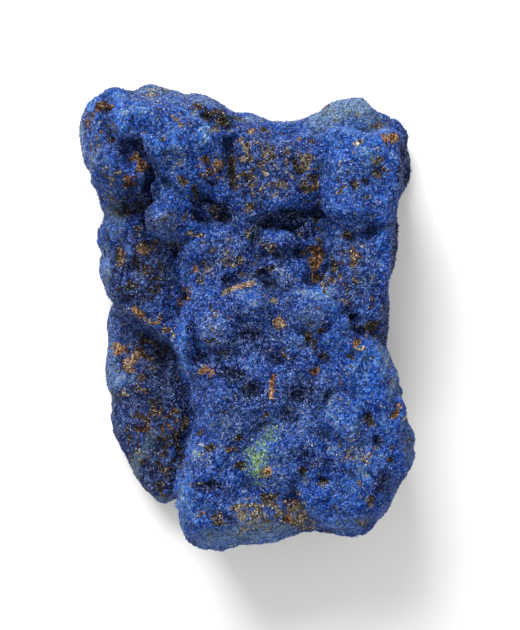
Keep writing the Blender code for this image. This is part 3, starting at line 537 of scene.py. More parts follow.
# The minerals of the crust. Each patch is an oval on the chart: its middle, half sizes, how much there is
# of what it holds, and a turn in degrees where there is one. Limonite patches also say, before the turn,
# how pale it is: 0 umber, 0.5 ochre, 1 cream.
# Umber limonite set in pits, caves and the notch is partly painted shade.
LIMONITE = [
    # broad mottling
    (5, 31, 9, 8, 0.42, 0.5), (13.4, 30, 2.6, 8, 0.6, 0.5), (-4, 12, 9, 5, 0.34, 0.55),
    (22, 9, 4, 9, 0.4, 0.55), (-19, -26, 7, 12, 0.5, 0.34), (-22, -8, 7, 6, 0.4, 0.36),
    (-25, 30, 5, 6, 0.34, 0.45), (0, -12, 12, 10, 0.15, 0.6), (24, -27, 5, 6, 0.4, 0.7),
    (-8, 42.4, 7, 2, 0.45, 0.45, -28), (-32, 37, 2.4, 7, 0.45, 0.5), (-22, 10, 8, 9, 0.38, 0.28),
    (24.6, 30, 7, 6, 0.2, 0.6),
    # the left lobe
    (-32.6, 40.6, 1.6, 3, 0.55, 0.4), (-33.6, 36, 1.3, 3.6, 0.5, 0.6),
    (-29.3, 43.8, 2.2, 1.3, 0.85, 0.28, 15), (-28.2, 44.4, 1, 0.5, 0.9, 0.5, 20),
    (-30, 40, 1.3, 1.3, 0.5, 0.6), (-27.7, 39, 1, 2.4, 0.45, 0.5), (-30.5, 36.6, 0.9, 1.2, 0.7, 0.45),
    (-27.6, 36.8, 1, 1.3, 0.55, 0.6), (-22.8, 33.6, 1.5, 1.3, 0.85, 0.5),
    (-21.2, 31.6, 1.4, 1.8, 0.85, 0.38), (-24, 27.9, 1.5, 1.2, 0.9, 0.48),
    (-28.2, 28.6, 1, 1.2, 0.8, 0.52), (-25.8, 29.8, 0.9, 0.6, 0.5, 0.75), (-29.6, 31, 1, 1.2, 0.5, 0.55),
    (-25, 23, 4.6, 2.4, 0.6, 0.18), (-22.4, 26, 2, 2, 0.45, 0.15), (-32.2, 33, 1, 1.6, 0.5, 0.7),
    # the hooded ridge and what lies behind it
    (-13.9, 41.6, 0.8, 2.2, 0.7, 0.62, 30), (-18, 43.4, 0.5, 0.4, 0.85, 0.9),
    (-16.9, 38, 0.7, 1, 0.75, 0.6), (-20.2, 38, 0.8, 0.6, 0.6, 0.6), (-24.2, 37.8, 1.4, 1, 0.45, 0.7),
    (-19.4, 46.2, 1.9, 0.5, 0.85, 0.66), (-18.6, 47.7, 3, 0.7, 0.5, 0.8), (-23, 45.6, 1.6, 1, 0.35, 0.6),
    (-9, 43.2, 3.8, 1.4, 0.6, 0.4, -30), (-5.6, 41.6, 3.2, 1.8, 0.8, 0.38, -25),
    (-6.3, 39.4, 0.9, 1.5, 0.9, 0.62, -25), (-1.2, 41.6, 1.7, 0.7, 0.9, 0.22),
    (-2.8, 39.6, 1.8, 1.2, 0.65, 0.55), (-7.8, 33.2, 1.5, 1.2, 0.9, 0.52),
    (-5.5, 32.4, 1.1, 2, 0.9, 0.5), (-6.7, 30.4, 0.9, 1.3, 0.85, 0.42), (-4.9, 29, 0.9, 1.2, 0.6, 0.72),
    (-7.8, 29.4, 1, 1.2, 0.5, 0.4), (-10.4, 26.6, 0.9, 1.6, 0.95, 0.3),
    (-12.6, 28.9, 1.7, 0.8, 0.75, 0.56, -30), (-13.6, 34, 3, 4, 0.16, 0.8),
    # the groove and the cave right of the ridge, and the knob under it
    (-2.4, 30, 1.4, 5.2, 0.85, 0.22, 3), (-5, 21.6, 2.2, 1.8, 0.7, 0.16), (-17, 20.6, 3, 3, 0.36, 0.55),
    (-17.6, 19.6, 1.1, 1.1, 0.6, 0.5), (-15, 19.2, 0.8, 1.7, 0.5, 0.66),
    (-11.4, 20.5, 1.2, 1.3, 0.75, 0.5), (-10, 17.1, 2.6, 0.6, 0.9, 0.6),
    (-21.6, 18.4, 1.2, 0.6, 0.65, 0.5), (-3.4, 19.6, 1, 0.8, 0.5, 0.5),
    # the mottled saddle
    (20, 42, 3.4, 0.8, 0.6, 0.9, 25), (23, 43.4, 3, 0.6, 0.5, 0.95, -30),
    (25, 41.2, 2.4, 0.6, 0.5, 0.95, -35), (18, 43, 2, 1, 0.5, 0.3, 40), (1.5, 38.9, 1, 0.8, 0.95, 0.6),
    (4.3, 39, 1.9, 1, 0.8, 0.25), (7.6, 39, 1, 0.6, 0.5, 0.6), (6.6, 34.2, 3, 1, 0.7, 0.55, -8),
    (0.4, 31.5, 1.9, 6, 0.6, 0.5), (1.6, 28, 1.3, 2, 0.65, 0.5), (-0.4, 35.6, 2.6, 2, 0.5, 0.55),
    (0.9, 22.8, 1.5, 1.7, 0.8, 0.5), (12.2, 35.6, 1.6, 1.8, 0.6, 0.55), (13.4, 32.6, 1, 2.9, 0.9, 0.58),
    (11.4, 30.8, 1.2, 1.5, 0.85, 0.2), (13, 27.6, 2, 1.9, 0.8, 0.42), (15, 28.6, 0.8, 2.3, 0.75, 0.35),
    (6.2, 26, 1.7, 0.6, 0.75, 0.5), (2.8, 25, 0.8, 1.3, 0.65, 0.5), (6, 29.6, 4, 4, 0.25, 0.6),
    (15.5, 21, 0.9, 3.2, 0.8, 0.35), (12.1, 17.2, 1.2, 1.4, 0.65, 0.42),
    # the right block and its step
    (20.7, 26.9, 0.7, 1.8, 0.85, 0.35, -30), (27.8, 33, 1.9, 1.4, 0.65, 0.55),
    (30.4, 30.4, 1, 1.9, 0.65, 0.6, 20), (28.1, 30.2, 1.1, 1, 0.95, 0.04),
    (23.1, 27.8, 0.8, 1, 0.9, 0.04, 30), (25.6, 28.4, 0.7, 0.7, 0.8, 0.08),
    (24, 36.4, 1.7, 0.5, 0.95, 0.95, 35), (22.2, 34.2, 0.6, 1.1, 0.6, 0.85, -20),
    (27.6, 35.2, 1.4, 0.5, 0.5, 0.9, 20), (30.9, 37.3, 2.1, 1.5, 0.95, 0.62, -25),
    (27.8, 39.6, 1.6, 0.7, 0.95, 0.62, 10), (19.8, 31.8, 0.6, 1.5, 0.8, 0.9, -15),
    (25.5, 25, 1.7, 0.5, 0.55, 0.3, -15), (24.5, 30, 6, 5, 0.15, 0.6), (21, 17.4, 2.3, 1.2, 0.65, 0.45),
    (24, 12.4, 1.6, 1.7, 0.85, 0.56, -25), (23, 13.8, 0.8, 0.7, 0.75, 0.6),
    (26.6, 8.5, 0.5, 0.9, 0.95, 0.95, 20), (20.4, 7, 0.9, 0.9, 0.75, 0.5), (24, 7, 1.1, 0.9, 0.75, 0.5),
    (22, 5, 3, 1.6, 0.5, 0.4), (22, 10, 3.4, 5, 0.28, 0.55), (27, 2, 0.8, 5, 0.35, 0.5),
    # the brown pocket and the waist
    (15.8, 15.3, 0.8, 0.9, 0.95, 0.55), (15.2, 12, 1.6, 2.9, 1, 0.48), (15, 8, 1.7, 1.7, 0.95, 0.5),
    (13, 13.6, 1.5, 0.8, 0.85, 0.45), (18.6, 10, 0.8, 4, 0.75, 0.25), (17.3, 7, 1.1, 2.2, 0.7, 0.45),
    (5.6, 14.2, 1.5, 1.2, 0.8, 0.55), (7, 13, 0.8, 1.1, 0.65, 0.5), (-0.8, 12, 1, 0.9, 0.9, 0.62),
    (-3, 11.2, 1.5, 0.9, 0.75, 0.45), (-9, 12.3, 1.6, 1, 0.65, 0.5), (-10, 10.3, 0.6, 0.6, 0.95, 0.45),
    (-8.6, 7.2, 1.4, 0.8, 0.75, 0.65), (-4, 14, 1.3, 0.8, 0.55, 0.62), (0.2, 17, 1.3, 1.2, 0.75, 0.4),
    (4, 10, 3, 1.6, 0.45, 0.25), (2.6, 16, 1.5, 3, 0.4, 0.3), (-9, 14.6, 0.8, 1.4, 0.5, 0.6),
    (-4, 12, 8, 4, 0.2, 0.6), (-12.4, 4.6, 1.4, 2.5, 0.75, 0.36, -25), (-11, 5.7, 0.4, 1, 0.85, 0.5),
    (11.6, 8, 2, 2, 0.2, 0.6),
    # the head of the front block
    (-6.4, -2.8, 3.2, 4.4, 0.3, 0.6), (-5, 2.2, 1.5, 1.6, 0.4, 0.75),
    (6.4, 3.6, 1.7, 0.8, 0.85, 0.75, -35), (7, 3.4, 0.6, 0.5, 0.95, 0.3), (2.2, 0.8, 0.8, 0.6, 0.8, 0.6),
    (7.5, -1.4, 1.9, 1.3, 1, 0.7, -20), (16.6, -2.7, 1.4, 0.9, 0.9, 0.5, 10),
    (14, -4, 1.7, 1, 0.75, 0.5, -40), (15.4, -6.3, 0.8, 1.9, 0.8, 0.5, -25),
    (16.8, -8.6, 1.7, 0.8, 0.65, 0.4, -20), (12.6, 1.6, 0.5, 1.4, 0.6, 0.7, 30),
    (15.4, 1.2, 0.5, 1.6, 0.6, 0.6, -20), (13.4, -1.6, 0.9, 0.5, 0.7, 0.4),
    (8.6, -7.6, 0.8, 1.5, 0.65, 0.4), (14.6, -11.4, 1, 1.4, 1, 0.5), (22.6, -8.2, 1.3, 0.7, 0.75, 0.4),
    (22.8, -10, 0.6, 0.6, 0.95, 0.45), (-7.4, -11.1, 1.4, 1.1, 1, 0.6, -40),
    (-6.6, -12, 0.5, 0.6, 0.9, 0.6), (6.1, -14, 0.8, 1.5, 1, 0.66), (6.1, -16.2, 0.5, 1.2, 1, 0.7),
    (5, -21.1, 0.8, 0.6, 0.9, 0.68), (-1.8, -15.4, 0.5, 0.8, 0.75, 0.8, 20),
    (4.5, -18.4, 1.2, 0.7, 0.5, 0.6), (-4.6, -7.6, 1.2, 0.6, 0.5, 0.7),
    (20.4, -13.4, 1.2, 1.3, 0.5, 0.55), (-7, -4.6, 1, 1.6, 0.4, 0.4), (9, -12, 3, 3, 0.14, 0.6),
    # the notch at the right edge and the rim below it
    (24, -5, 1, 1.4, 1, 0.5, -30), (26.6, -1.8, 2.2, 1.5, 0.9, 0.25, 20),
    (23, -1.5, 1.5, 1.1, 0.7, 0.08), (28, -4.4, 1.5, 0.7, 0.6, 0.9, -35),
    (32, -19.6, 0.9, 2.4, 0.8, 0.4, -20), (33.6, -21.8, 0.9, 0.6, 0.85, 0.8, -40),
    # the low left shelf
    (-22.4, 1, 1.4, 1.1, 1, 0.56), (-18.3, -0.4, 0.8, 0.8, 0.9, 0.4),
    (-16.4, -3, 1.5, 0.9, 0.9, 0.4, -30), (-14.8, -4, 0.7, 0.5, 0.9, 0.95, -35),
    (-24.6, 3.4, 1.9, 0.9, 0.65, 0.3, -30), (-26.4, -6.6, 1.4, 1.7, 1, 0.58),
    (-22, -8.4, 2.2, 1.7, 0.95, 0.6), (-24.4, -10, 1.2, 1.7, 0.95, 0.5, 20),
    (-21.8, -12.4, 1.5, 1, 0.65, 0.6), (-22.5, -14.6, 1, 1.2, 0.5, 0.35),
    (-25, -16.4, 1.3, 2, 0.65, 0.75), (-20.4, -15.4, 0.9, 0.6, 0.9, 0.55),
    (-16, -21, 3.5, 3.4, 0.55, 0.3), (-12.5, -22.5, 1.6, 1.4, 0.8, 0.4),
    (-14, -24.5, 1.6, 1.2, 0.7, 0.2), (-21.8, -23.8, 1.1, 1.2, 0.65, 0.35),
    (-17.5, -29, 1.7, 1.6, 0.65, 0.42), (-21.4, -30.8, 1.7, 1.4, 0.65, 0.45),
    (-13.2, -28, 0.9, 3, 0.8, 0.3, 10), (-13.8, -31.6, 1.4, 1.6, 0.7, 0.35),
    (-18.5, -33.4, 3.6, 2.6, 0.5, 0.38), (-16.5, -36.4, 1.9, 1.6, 0.65, 0.5),
    (-19, -27, 6, 11, 0.34, 0.3), (-21, 14.6, 2.3, 1.6, 0.92, 0.46), (-18.4, 14.9, 1.1, 1.5, 0.7, 0.4),
    (-26.2, 12.6, 1.4, 2.6, 0.8, 0.5), (-19, 10, 3, 3.4, 0.45, 0.28), (-19.4, -6, 4, 3, 0.3, 0.25),
    (-26.6, 18, 2, 2, 0.35, 0.45), (-17, 5, 3, 2, 0.3, 0.3),
    # the lower front
    (-9.2, -34.9, 0.9, 0.4, 0.95, 0.95), (-9.2, -41.6, 1.2, 0.7, 0.85, 0.45),
    (-5.4, -42.4, 2.1, 1.4, 0.8, 0.4, -20), (-7.3, -46.6, 0.9, 1.8, 0.6, 0.72),
    (-2.2, -40.2, 0.7, 0.8, 0.6, 0.8), (3, -40.6, 6.4, 3.6, 0.66, 0.66), (5, -37.6, 2.7, 1.2, 0.65, 0.5),
    (0.6, -38, 1.1, 0.4, 0.95, 0.7), (-0.2, -45, 1.6, 1.6, 0.6, 0.6), (4, -44, 3, 1.2, 0.55, 0.7),
    (11, -41.5, 3, 3.2, 0.85, 0.64), (9, -38.6, 1.7, 1, 0.85, 0.5), (8.8, -42.6, 0.8, 0.7, 1, 0.44),
    (13.4, -44, 2.4, 1, 0.8, 0.4), (-6.8, -27.4, 1.9, 1.2, 0.65, 0.4),
    (-2.6, -27.7, 1.3, 0.5, 0.85, 0.66), (-0.8, -30.6, 1.6, 1.4, 0.8, 0.3),
    (-0.2, -31.8, 0.9, 0.6, 0.85, 0.6), (5.4, -32.2, 1.2, 1.1, 1, 0.74), (4, -33.8, 1.7, 1.2, 0.5, 0.6),
    (-1, -25.2, 1, 0.8, 0.75, 0.4), (-6.6, -23, 0.7, 0.7, 0.6, 0.7), (-5, -33.2, 0.5, 0.5, 0.85, 0.85),
    (18, -28, 0.5, 1, 0.85, 0.7), (26.4, -21.6, 1.2, 2.3, 0.9, 0.2, 15), (26, -24.4, 1.6, 1, 0.6, 0.55),
    (19.8, -21.6, 0.6, 1.9, 0.55, 0.75), (24.2, -24.6, 1.2, 1, 0.65, 0.4),
    (24, -27, 3.6, 3.2, 0.35, 0.75), (24.2, -31.6, 1.6, 1.2, 0.35, 0.9),
    (24, -34.6, 1.3, 0.8, 0.55, 0.7), (12.1, -32.3, 1, 0.9, 0.9, 0.12),
    (16.8, -34.4, 1.5, 0.8, 0.85, 0.15), (11.4, -36.9, 0.7, 0.8, 0.8, 0.9),
    (26.8, -38.4, 0.9, 1.3, 0.85, 0.4), (24.6, -42.6, 0.8, 1.5, 0.7, 0.5, 20),
    (30.4, -30.4, 1, 1.3, 0.7, 0.45), (16, -45.2, 4, 0.8, 0.65, 0.35), (34.8, -27, 1, 2.4, 0.4, 0.6),
    (22.4, -38.6, 1.2, 0.8, 0.35, 0.7), (-9, -24, 0.7, 0.8, 0.5, 0.3),
]
# The same along a line: the line, its half width, how much, and how pale.
LIMONITE_SEAMS = [
    ([(-3.8, 4.8), (-1.8, 6.2), (0.2, 6.8), (1.8, 6.8)], 0.62, 1, 0.74),
    ([(1.8, 6.8), (3, 6), (4.2, 4.8)], 0.5, 0.5, 0.8),
    ([(4.8, 4.3), (6.4, 3.1), (7.8, 2.2)], 0.6, 0.5, 0.8),
    ([(-21.6, -0.6), (-20, -1.5), (-18.6, -1.2)], 0.4, 0.9, 0.85),
    ([(17.2, -19), (18, -17.9), (20, -16.8), (22.6, -16.6)], 0.5, 0.4, 0.8),
    ([(25.6, -3.4), (28, -5.6), (29.6, -9), (31, -13), (32.6, -17), (33, -19)], 0.9, 0.4, 0.8),
    ([(23, -6.3), (24.2, -6.8), (25, -6.3)], 0.4, 1, 1),
    ([(24, 18.6), (24, 16), (25, 14.4)], 0.4, 0.55, 0.95),
    ([(12.4, -39.2), (13.2, -42), (15, -43.4)], 0.4, 0.6, 0.75),
]
MALACHITE = [
    (3.2, -30, 3.4, 4.6, 0.5), (2.8, -31, 1.2, 2.6, 1, 8), (5, -26.8, 2, 2.6, 0.45, -20),
    (1, -28.6, 1.6, 2, 0.45), (4.6, -29, 1.2, 1.4, 0.6, -30), (1.6, -30, 0.9, 1.6, 0.6, 20),
    (3.2, -34.2, 1.6, 1.4, 0.4), (-10, -28.6, 0.5, 0.9, 0.6, 15), (28.4, -7.6, 1.4, 0.8, 0.35, -40),
    (5.5, -24, 2, 1.8, 0.25), (20, 31.6, 0.6, 1.5, 0.3, -15), (12, 4.9, 1.5, 0.8, 0.3),
    (24.4, -31.8, 1.6, 1.4, 0.22), (-1, -46, 2, 1.4, 0.15), (28, 33, 1.4, 1.2, 0.2),
    (7.6, -1.6, 1.4, 0.8, 0.25),
]
# Where the limonite is rusty rather than olive: how much.
RUST = [
    (-1, 6.4, 3.4, 1.2, 0.6), (-7.4, -11.1, 1.9, 1.6, 1), (6.1, -14.6, 1, 2.6, 1),
    (7.5, -1.4, 2, 1.4, 0.55, -20), (14.6, -11.4, 1.4, 1.8, 1), (5.4, -32.2, 1.4, 1.2, 1),
    (15.2, 10.4, 2, 5, 0.75), (30.9, 37.6, 2.6, 2.2, 1, -25), (27.6, 39.6, 2, 1, 1, 10),
    (-12.4, 4.6, 1.6, 2.8, 0.6, -25), (-22.4, 1, 1.8, 1.4, 0.8), (-17.6, -1.6, 2.4, 1.6, 0.7),
    (24, -5, 1.6, 2, 0.8, -30), (32, -19.6, 1.2, 3, 0.5, -20), (-24, 27.9, 2, 1.8, 0.7),
    (-22, 32.4, 2.4, 2.4, 0.7), (-7, 31.6, 3, 3, 0.6), (8.8, -42.6, 1.4, 1.2, 0.9),
    (-29.3, 43.6, 2.6, 1.8, 0.6, 15), (2.4, 38.9, 2, 1, 0.6), (-9.4, -41.6, 1.8, 1, 0.6),
    (-26.2, -7, 2, 2, 0.8), (-22.6, -9, 3, 3, 0.5), (-22, 12, 5, 4, 0.4), (-16.4, -21.6, 4, 3, 0.45),
    (10, -38.8, 2, 1.2, 0.6), (24, 12.6, 2, 2, 0.4), (-2.6, -27.7, 1.6, 1, 0.7), (16, -3.6, 2, 2, 0.5),
    (-33.4, 38, 1.4, 4, 0.6), (-21, -24, 2, 2, 0.5), (-10, 10.6, 1.4, 1.4, 0.8),
]
# Where the azurite is weathered dull: how much.
DULL = [
    (-22, -20, 9, 22, 0.6), (-16, -14, 4, 12, 0.25), (-23, 8, 8, 9, 0.6), (-30, 36, 5, 8, 0.3),
    (-26, 24, 6, 5, 0.35), (4, 31, 10, 9, 0.4), (1, 18, 7, 6, 0.25), (-8, 43.6, 9, 3, 0.4, -28),
    (-19, 47, 8, 2.4, 0.4), (20, 42.6, 10, 4, 0.3, 12), (22, 10, 6, 8, 0.3), (12, 11, 4, 7, 0.2),
    (3, -42, 9, 4.6, 0.5), (24, -27, 5, 6, 0.2), (-6.4, -2.6, 3.4, 4.6, 0.34), (14, 0, 3.4, 3.4, 0.5),
    (4, -2, 16, 9, 0.34), (2, 13, 13, 7, 0.3), (22, 10, 7, 10, 0.4), (4, -24, 14, 9, 0.36),
    (14, -18, 9, 7, 0.34), (4, -31, 6, 7, 0.25), (-9, -30, 3, 5, 0.2), (31, -10, 3, 9, 0.2),
    (6, 6, 8, 4, 0.2), (-13.6, 33, 4, 4, 0.15), (-17, 20, 3.6, 3.4, 0.35),
]
# Pale grains of quartz and clay sprinkled over the azurite, partly painted glints: their pale blue-white
# stands in for light caught on crystal faces, most of all on the domes.
DUST_AND_GLINTS = [
    (-6.5, -2.5, 3.4, 4.6, 0.42), (14, 0, 3, 3, 0.3), (21.5, -22, 4, 4.6, 0.22),
    (23, -28, 4.6, 3.6, 0.5), (-14.5, 33, 3.6, 4, 0.5), (-16.4, 20, 3.4, 3.2, 0.42), (5, 31, 5, 7, 0.3),
    (24, 30, 8, 7, 0.28), (4, -24, 4, 3, 0.35), (-3, -20, 8, 8, 0.26), (8, 8, 3, 3, 0.5),
    (3, 8, 6, 2, 0.4), (1, 20, 4, 3, 0.35), (22, -41, 4, 2.6, 0.2), (12.7, -33.6, 0.9, 1.6, 0.9, 20),
    (12.2, 4.9, 1.7, 1, 0.8), (3, -42, 7, 3.6, 0.45), (7, -34, 3, 3, 0.4), (-9, -29, 2.6, 3.4, 0.5),
    (-6, 11, 7, 4.4, 0.3), (1, 0, 6, 5, 0.2), (-13, 27, 2.4, 2, 0.25), (12, -19, 5, 5, 0.3),
    (9, -8, 6, 4, 0.25), (22, 12, 4, 7, 0.25), (14, -6, 3, 3, 0.35), (-22, -17, 6, 6, 0.12),
    (18, 33, 3, 5, 0.2), (-19, 44, 6, 2, 0.35), (24, -38, 4, 4, 0.25), (12, -12, 4, 3, 0.25),
    (-14.4, -2, 1.4, 4, 0.15), (27, -10, 3, 5, 0.12), (-4, -42, 4, 3, 0.3),
]
# A pale wash over the colour: partly a film of clay, partly painted sheen and washed-out light along the
# top edge, the rims and the silhouette, and small painted highlights on two domes.
FILM_AND_SHEEN = [
    (21.4, 43.6, 8, 2.8, 0.72, 12), (16.6, 41, 4, 2.4, 0.55, 30), (26, 41, 4.4, 2.2, 0.5, -20),
    (23, 39, 7, 1.6, 0.25, -5), (-34.6, 37, 1.2, 6, 0.7), (-32.4, 32, 1.4, 3, 0.5, -15),
    (-10, 46.6, 9, 1.6, 0.4, -15), (-19, 47.8, 6, 1.2, 0.5), (6, 41.6, 9, 1.2, 0.35),
    (-29.6, 9, 1.2, 8, 0.45), (-28, -12, 1.4, 12, 0.4), (-23, -32, 1.4, 9, 0.5, -28),
    (-17, -38.4, 4, 1, 0.5), (30.2, -8, 1.2, 4.4, 0.5, -25), (31.6, -14, 1, 4, 0.5, -20),
    (3, -45, 9, 2.4, 0.5), (-6, -46.4, 5, 2.2, 0.45), (-13, -40, 1.2, 6, 0.3), (-27.6, 20, 3, 4, 0.3),
    (22, -43, 5, 2, 0.25), (-6.4, -2.4, 2.6, 4, 0.03), (14.2, 0.4, 2.4, 2.4, 0.1),
    (-28, 0, 1.4, 4, 0.35), (35, -27, 1.4, 4, 0.3),
]
# How deep or bright the azurite is drawn: 0 nearly black navy, 0.5 ultramarine, 1 bright cobalt. Partly the
# azurite's own tone, partly painted light: painted highlights on lit ridge tops and rims, and painted shade
# in caves, pits and on the shaded right flank.
TONES = [
    # broad
    (24, 32, 10, 8, 0.75), (-22, -22, 8, 22, 0.4), (-23, 10, 7, 10, 0.32), (0, 14, 13, 8, 0.44),
    (22, 8, 6, 9, 0.5), (5, 31, 10, 9, 0.42), (-26, 28, 6, 8, 0.5), (2, -10, 13, 10, 0.42),
    (22, 40, 9, 2.4, 0.84, -8), (17, -30, 14, 14, 0.7), (0, -38, 13, 8, 0.64), (-24, 33, 5, 6, 0.6),
    (25, -12, 6, 8, 0.72), (-15, 33, 7, 9, 0.68), (15, -6, 6, 5, 0.6),
    # bright: partly cobalt azurite, partly painted highlights on lit ridge tops, knob tops and rims
    (-25.6, 41.6, 1.8, 3.4, 0.86), (-22, 43.8, 2.4, 1.6, 0.8), (-13, 43.8, 5, 1.3, 0.85, -27),
    (-8, 38.2, 2.6, 3, 0.95), (-15, 38, 1.6, 1.6, 0.75), (-19.2, 37.2, 2.4, 0.8, 0.9, -25),
    (-14.4, 31.6, 3.4, 3, 0.7), (-18.2, 22, 2.2, 2, 0.7), (-16, 19, 2, 2, 0.42), (-8, 18, 6, 2, 0.62),
    (-14.6, 26, 2, 3, 0.62), (-26, 46.6, 2, 1.4, 0.9), (-32, 44.4, 2.4, 1, 0.85, 40),
    (6.6, 17.2, 3, 1.4, 0.66), (7.6, 24, 3, 1, 0.7), (17.6, 36, 2.5, 2.4, 0.72),
    (18, 28.6, 1.7, 4.4, 0.6), (25.6, 37.4, 4.6, 1.5, 0.85), (9, 39.4, 6, 1.2, 0.75),
    (7.4, 37, 2, 1.3, 0.72), (22, 22.6, 3.4, 2.1, 0.62), (29, 27, 3, 3, 0.66), (28.4, 14, 1.4, 5, 0.78),
    (28.6, 20, 2, 3, 0.7), (16, 5, 4, 1.3, 0.95), (18.5, -5, 2, 2.5, 0.76), (11, -5, 1.7, 2.2, 0.88, 30),
    (2, 4.4, 3, 1.4, 0.85), (-13, -5, 1.2, 4.6, 0.86), (-12.4, -10.6, 1.5, 2.2, 0.85),
    (19, 1, 1.4, 3, 0.8), (26, -14, 3.4, 4, 0.78), (25.6, -8.7, 2, 1.4, 0.88),
    (18, -19.4, 1.2, 2.7, 0.74), (-13, -34, 1.6, 6, 0.85, 15), (-12.8, -42, 1.5, 4, 0.76),
    (-11.2, -27.6, 1.3, 3, 0.88), (20, -42.4, 4.6, 2.4, 0.76), (-1.9, -39.8, 0.9, 1, 0.85),
    (1.1, -41.9, 1, 0.9, 0.85), (4.6, -46.6, 5, 1.3, 0.82), (-5, -47.6, 4.6, 1.2, 0.82),
    (-1, -43.6, 1.4, 1.4, 0.8), (-7.6, -38.6, 2.6, 1, 0.66), (-26.6, -12, 1.8, 3, 0.72),
    (-23.6, -20.4, 2.6, 2, 0.58), (-22, -25.4, 1.7, 1.4, 0.66), (-15.6, -29, 0.8, 2.7, 0.62),
    (-29.5, 11, 1, 3, 0.85), (-24.5, 14, 1.3, 1.5, 0.68), (-23, 8, 4, 1.6, 0.58),
    (-20.4, 1.8, 2, 1, 0.68), (8, -19, 2, 2.6, 0.7), (8.4, -28, 2.4, 2, 0.68), (3, -10, 3, 2, 0.6),
    (30, -23.6, 1.6, 2.6, 0.74), (31.4, -32.8, 1.4, 1.4, 0.72), (9, -34, 3, 2, 0.66),
    (-28, 34.6, 2, 1.6, 0.5), (-31, 38.6, 0.8, 4, 0.75), (32.4, 36, 1.6, 3, 0.66),
    (18.4, -40.6, 3.4, 3, 0.7),
    # dark: partly deep navy azurite, partly painted shade in caves, pits, under overhangs and on the shaded
    # right flank
    (2, -4, 3, 1.6, 0.22), (-2.6, -12, 3.8, 1.6, 0.06), (1.6, -15, 3.2, 2.4, 0.1),
    (-11.3, -2.6, 1.2, 1.6, 0.14), (-9.5, -8.5, 1.2, 1.4, 0.14), (13, -16, 3.6, 2.6, 0.22),
    (10, -20.4, 2.6, 2, 0.26), (13, -29, 3, 3, 0.38), (17, -31, 4, 2, 0.4), (-7, -35.6, 4.2, 1.2, 0.1),
    (-4.4, -37, 2, 1.4, 0.3), (-17, -9, 3.4, 4.6, 0.2), (-15.6, -15, 2.6, 4, 0.14),
    (-13.4, -22, 1.8, 6, 0.16), (33.9, 31, 1.6, 7.4, 0.05), (31.7, 14, 1, 10, 0.22),
    (29.4, 0, 1.5, 6, 0.24), (28.8, -34.8, 1.4, 2.8, 0.14, -15), (10, 21, 3.8, 1.9, 0.04),
    (5.4, 20.6, 2.2, 1.4, 0.08), (12.6, 18.4, 2.4, 3, 0.14), (-9, 24.1, 3.4, 1.3, 0.04, -12),
    (-5.1, 22.2, 2.3, 2, 0.04), (-20.8, 34.6, 2.2, 3.6, 0.34, 20), (-19.3, 28.6, 1.7, 5, 0.28, -8),
    (-21, 24, 2.4, 1.9, 0.08, 30), (-20.4, 20, 1.4, 3, 0.1), (-14.5, 14, 1.9, 1.9, 0.08),
    (4.6, 9.4, 2.4, 1.4, 0.08), (2.6, 17, 1.4, 3, 0.15), (-24, 22.4, 3.4, 1.6, 0.2),
    (-5, -10, 2, 1, 0.3), (22, -33, 2, 1, 0.28), (28, -26, 1, 1, 0.12), (28.1, 30.2, 1.1, 1, 0.02),
    (23.1, 27.8, 0.9, 1, 0.02, 30), (25.6, 28.4, 0.8, 0.7, 0.04), (-18, -18, 4, 4, 0.26),
    (-19, -34, 4, 4, 0.3), (-18, 11, 3, 4, 0.28), (-25, 35, 2.6, 1.6, 0.36), (6, -16, 3, 3, 0.36),
]
# How crisply the crystals stand out of the crust: 1 fully, 0 not at all.
CRISP = [
    (6, -16, 22, 28, 1), (2, 20, 16, 18, 0.85), (23, 28, 9, 12, 0.8), (24, 10, 7, 10, 0.75),
    (-15, 31, 7, 14, 0.8), (-20, 43, 9, 4, 0.5), (-22, -20, 8, 20, 0.3), (-23, 8, 8, 10, 0.3),
    (-31, 36, 4, 10, 0.3), (21, 43.6, 9, 3, 0.1, 12), (6, 41, 9, 1.6, 0.25), (2, -46, 14, 2.4, 0.25),
    (-12.8, -38, 1.6, 9, 0.35, 10), (22, -43.5, 6, 2, 0.3), (18.6, -4.6, 2.2, 2.6, 0.4),
    (17, 30, 1.6, 6, 0.4),
]
# How much of each there is on the grown face away from all patches.
BARE_FACE = {"limonite": 0.1, "paleness": 0.5, "tone_and_painted_light": 0.55, "dust_and_glints": 0.18, "film_and_sheen": 0.0, "malachite": 0.0,
             "rust": 0.08, "dull": 0.12}
SPREAD = 1.25  # how far a patch's edge runs out, as a share of its size
KNOT = 1.7  # how wide the knots are that the minerals gather in, in millimetres


def patch_cover(share):
    """1 inside a patch, running out to 0 past its edge."""
    return 1 - ease(0.55, SPREAD, share)


def sunk(mesh, points, normals, rounds):
    """How far each point lies below its surroundings, in millimetres."""
    level = neighbour_mean(mesh, points, rounds)
    return np.einsum("ij,ij->i", level - points, normals)


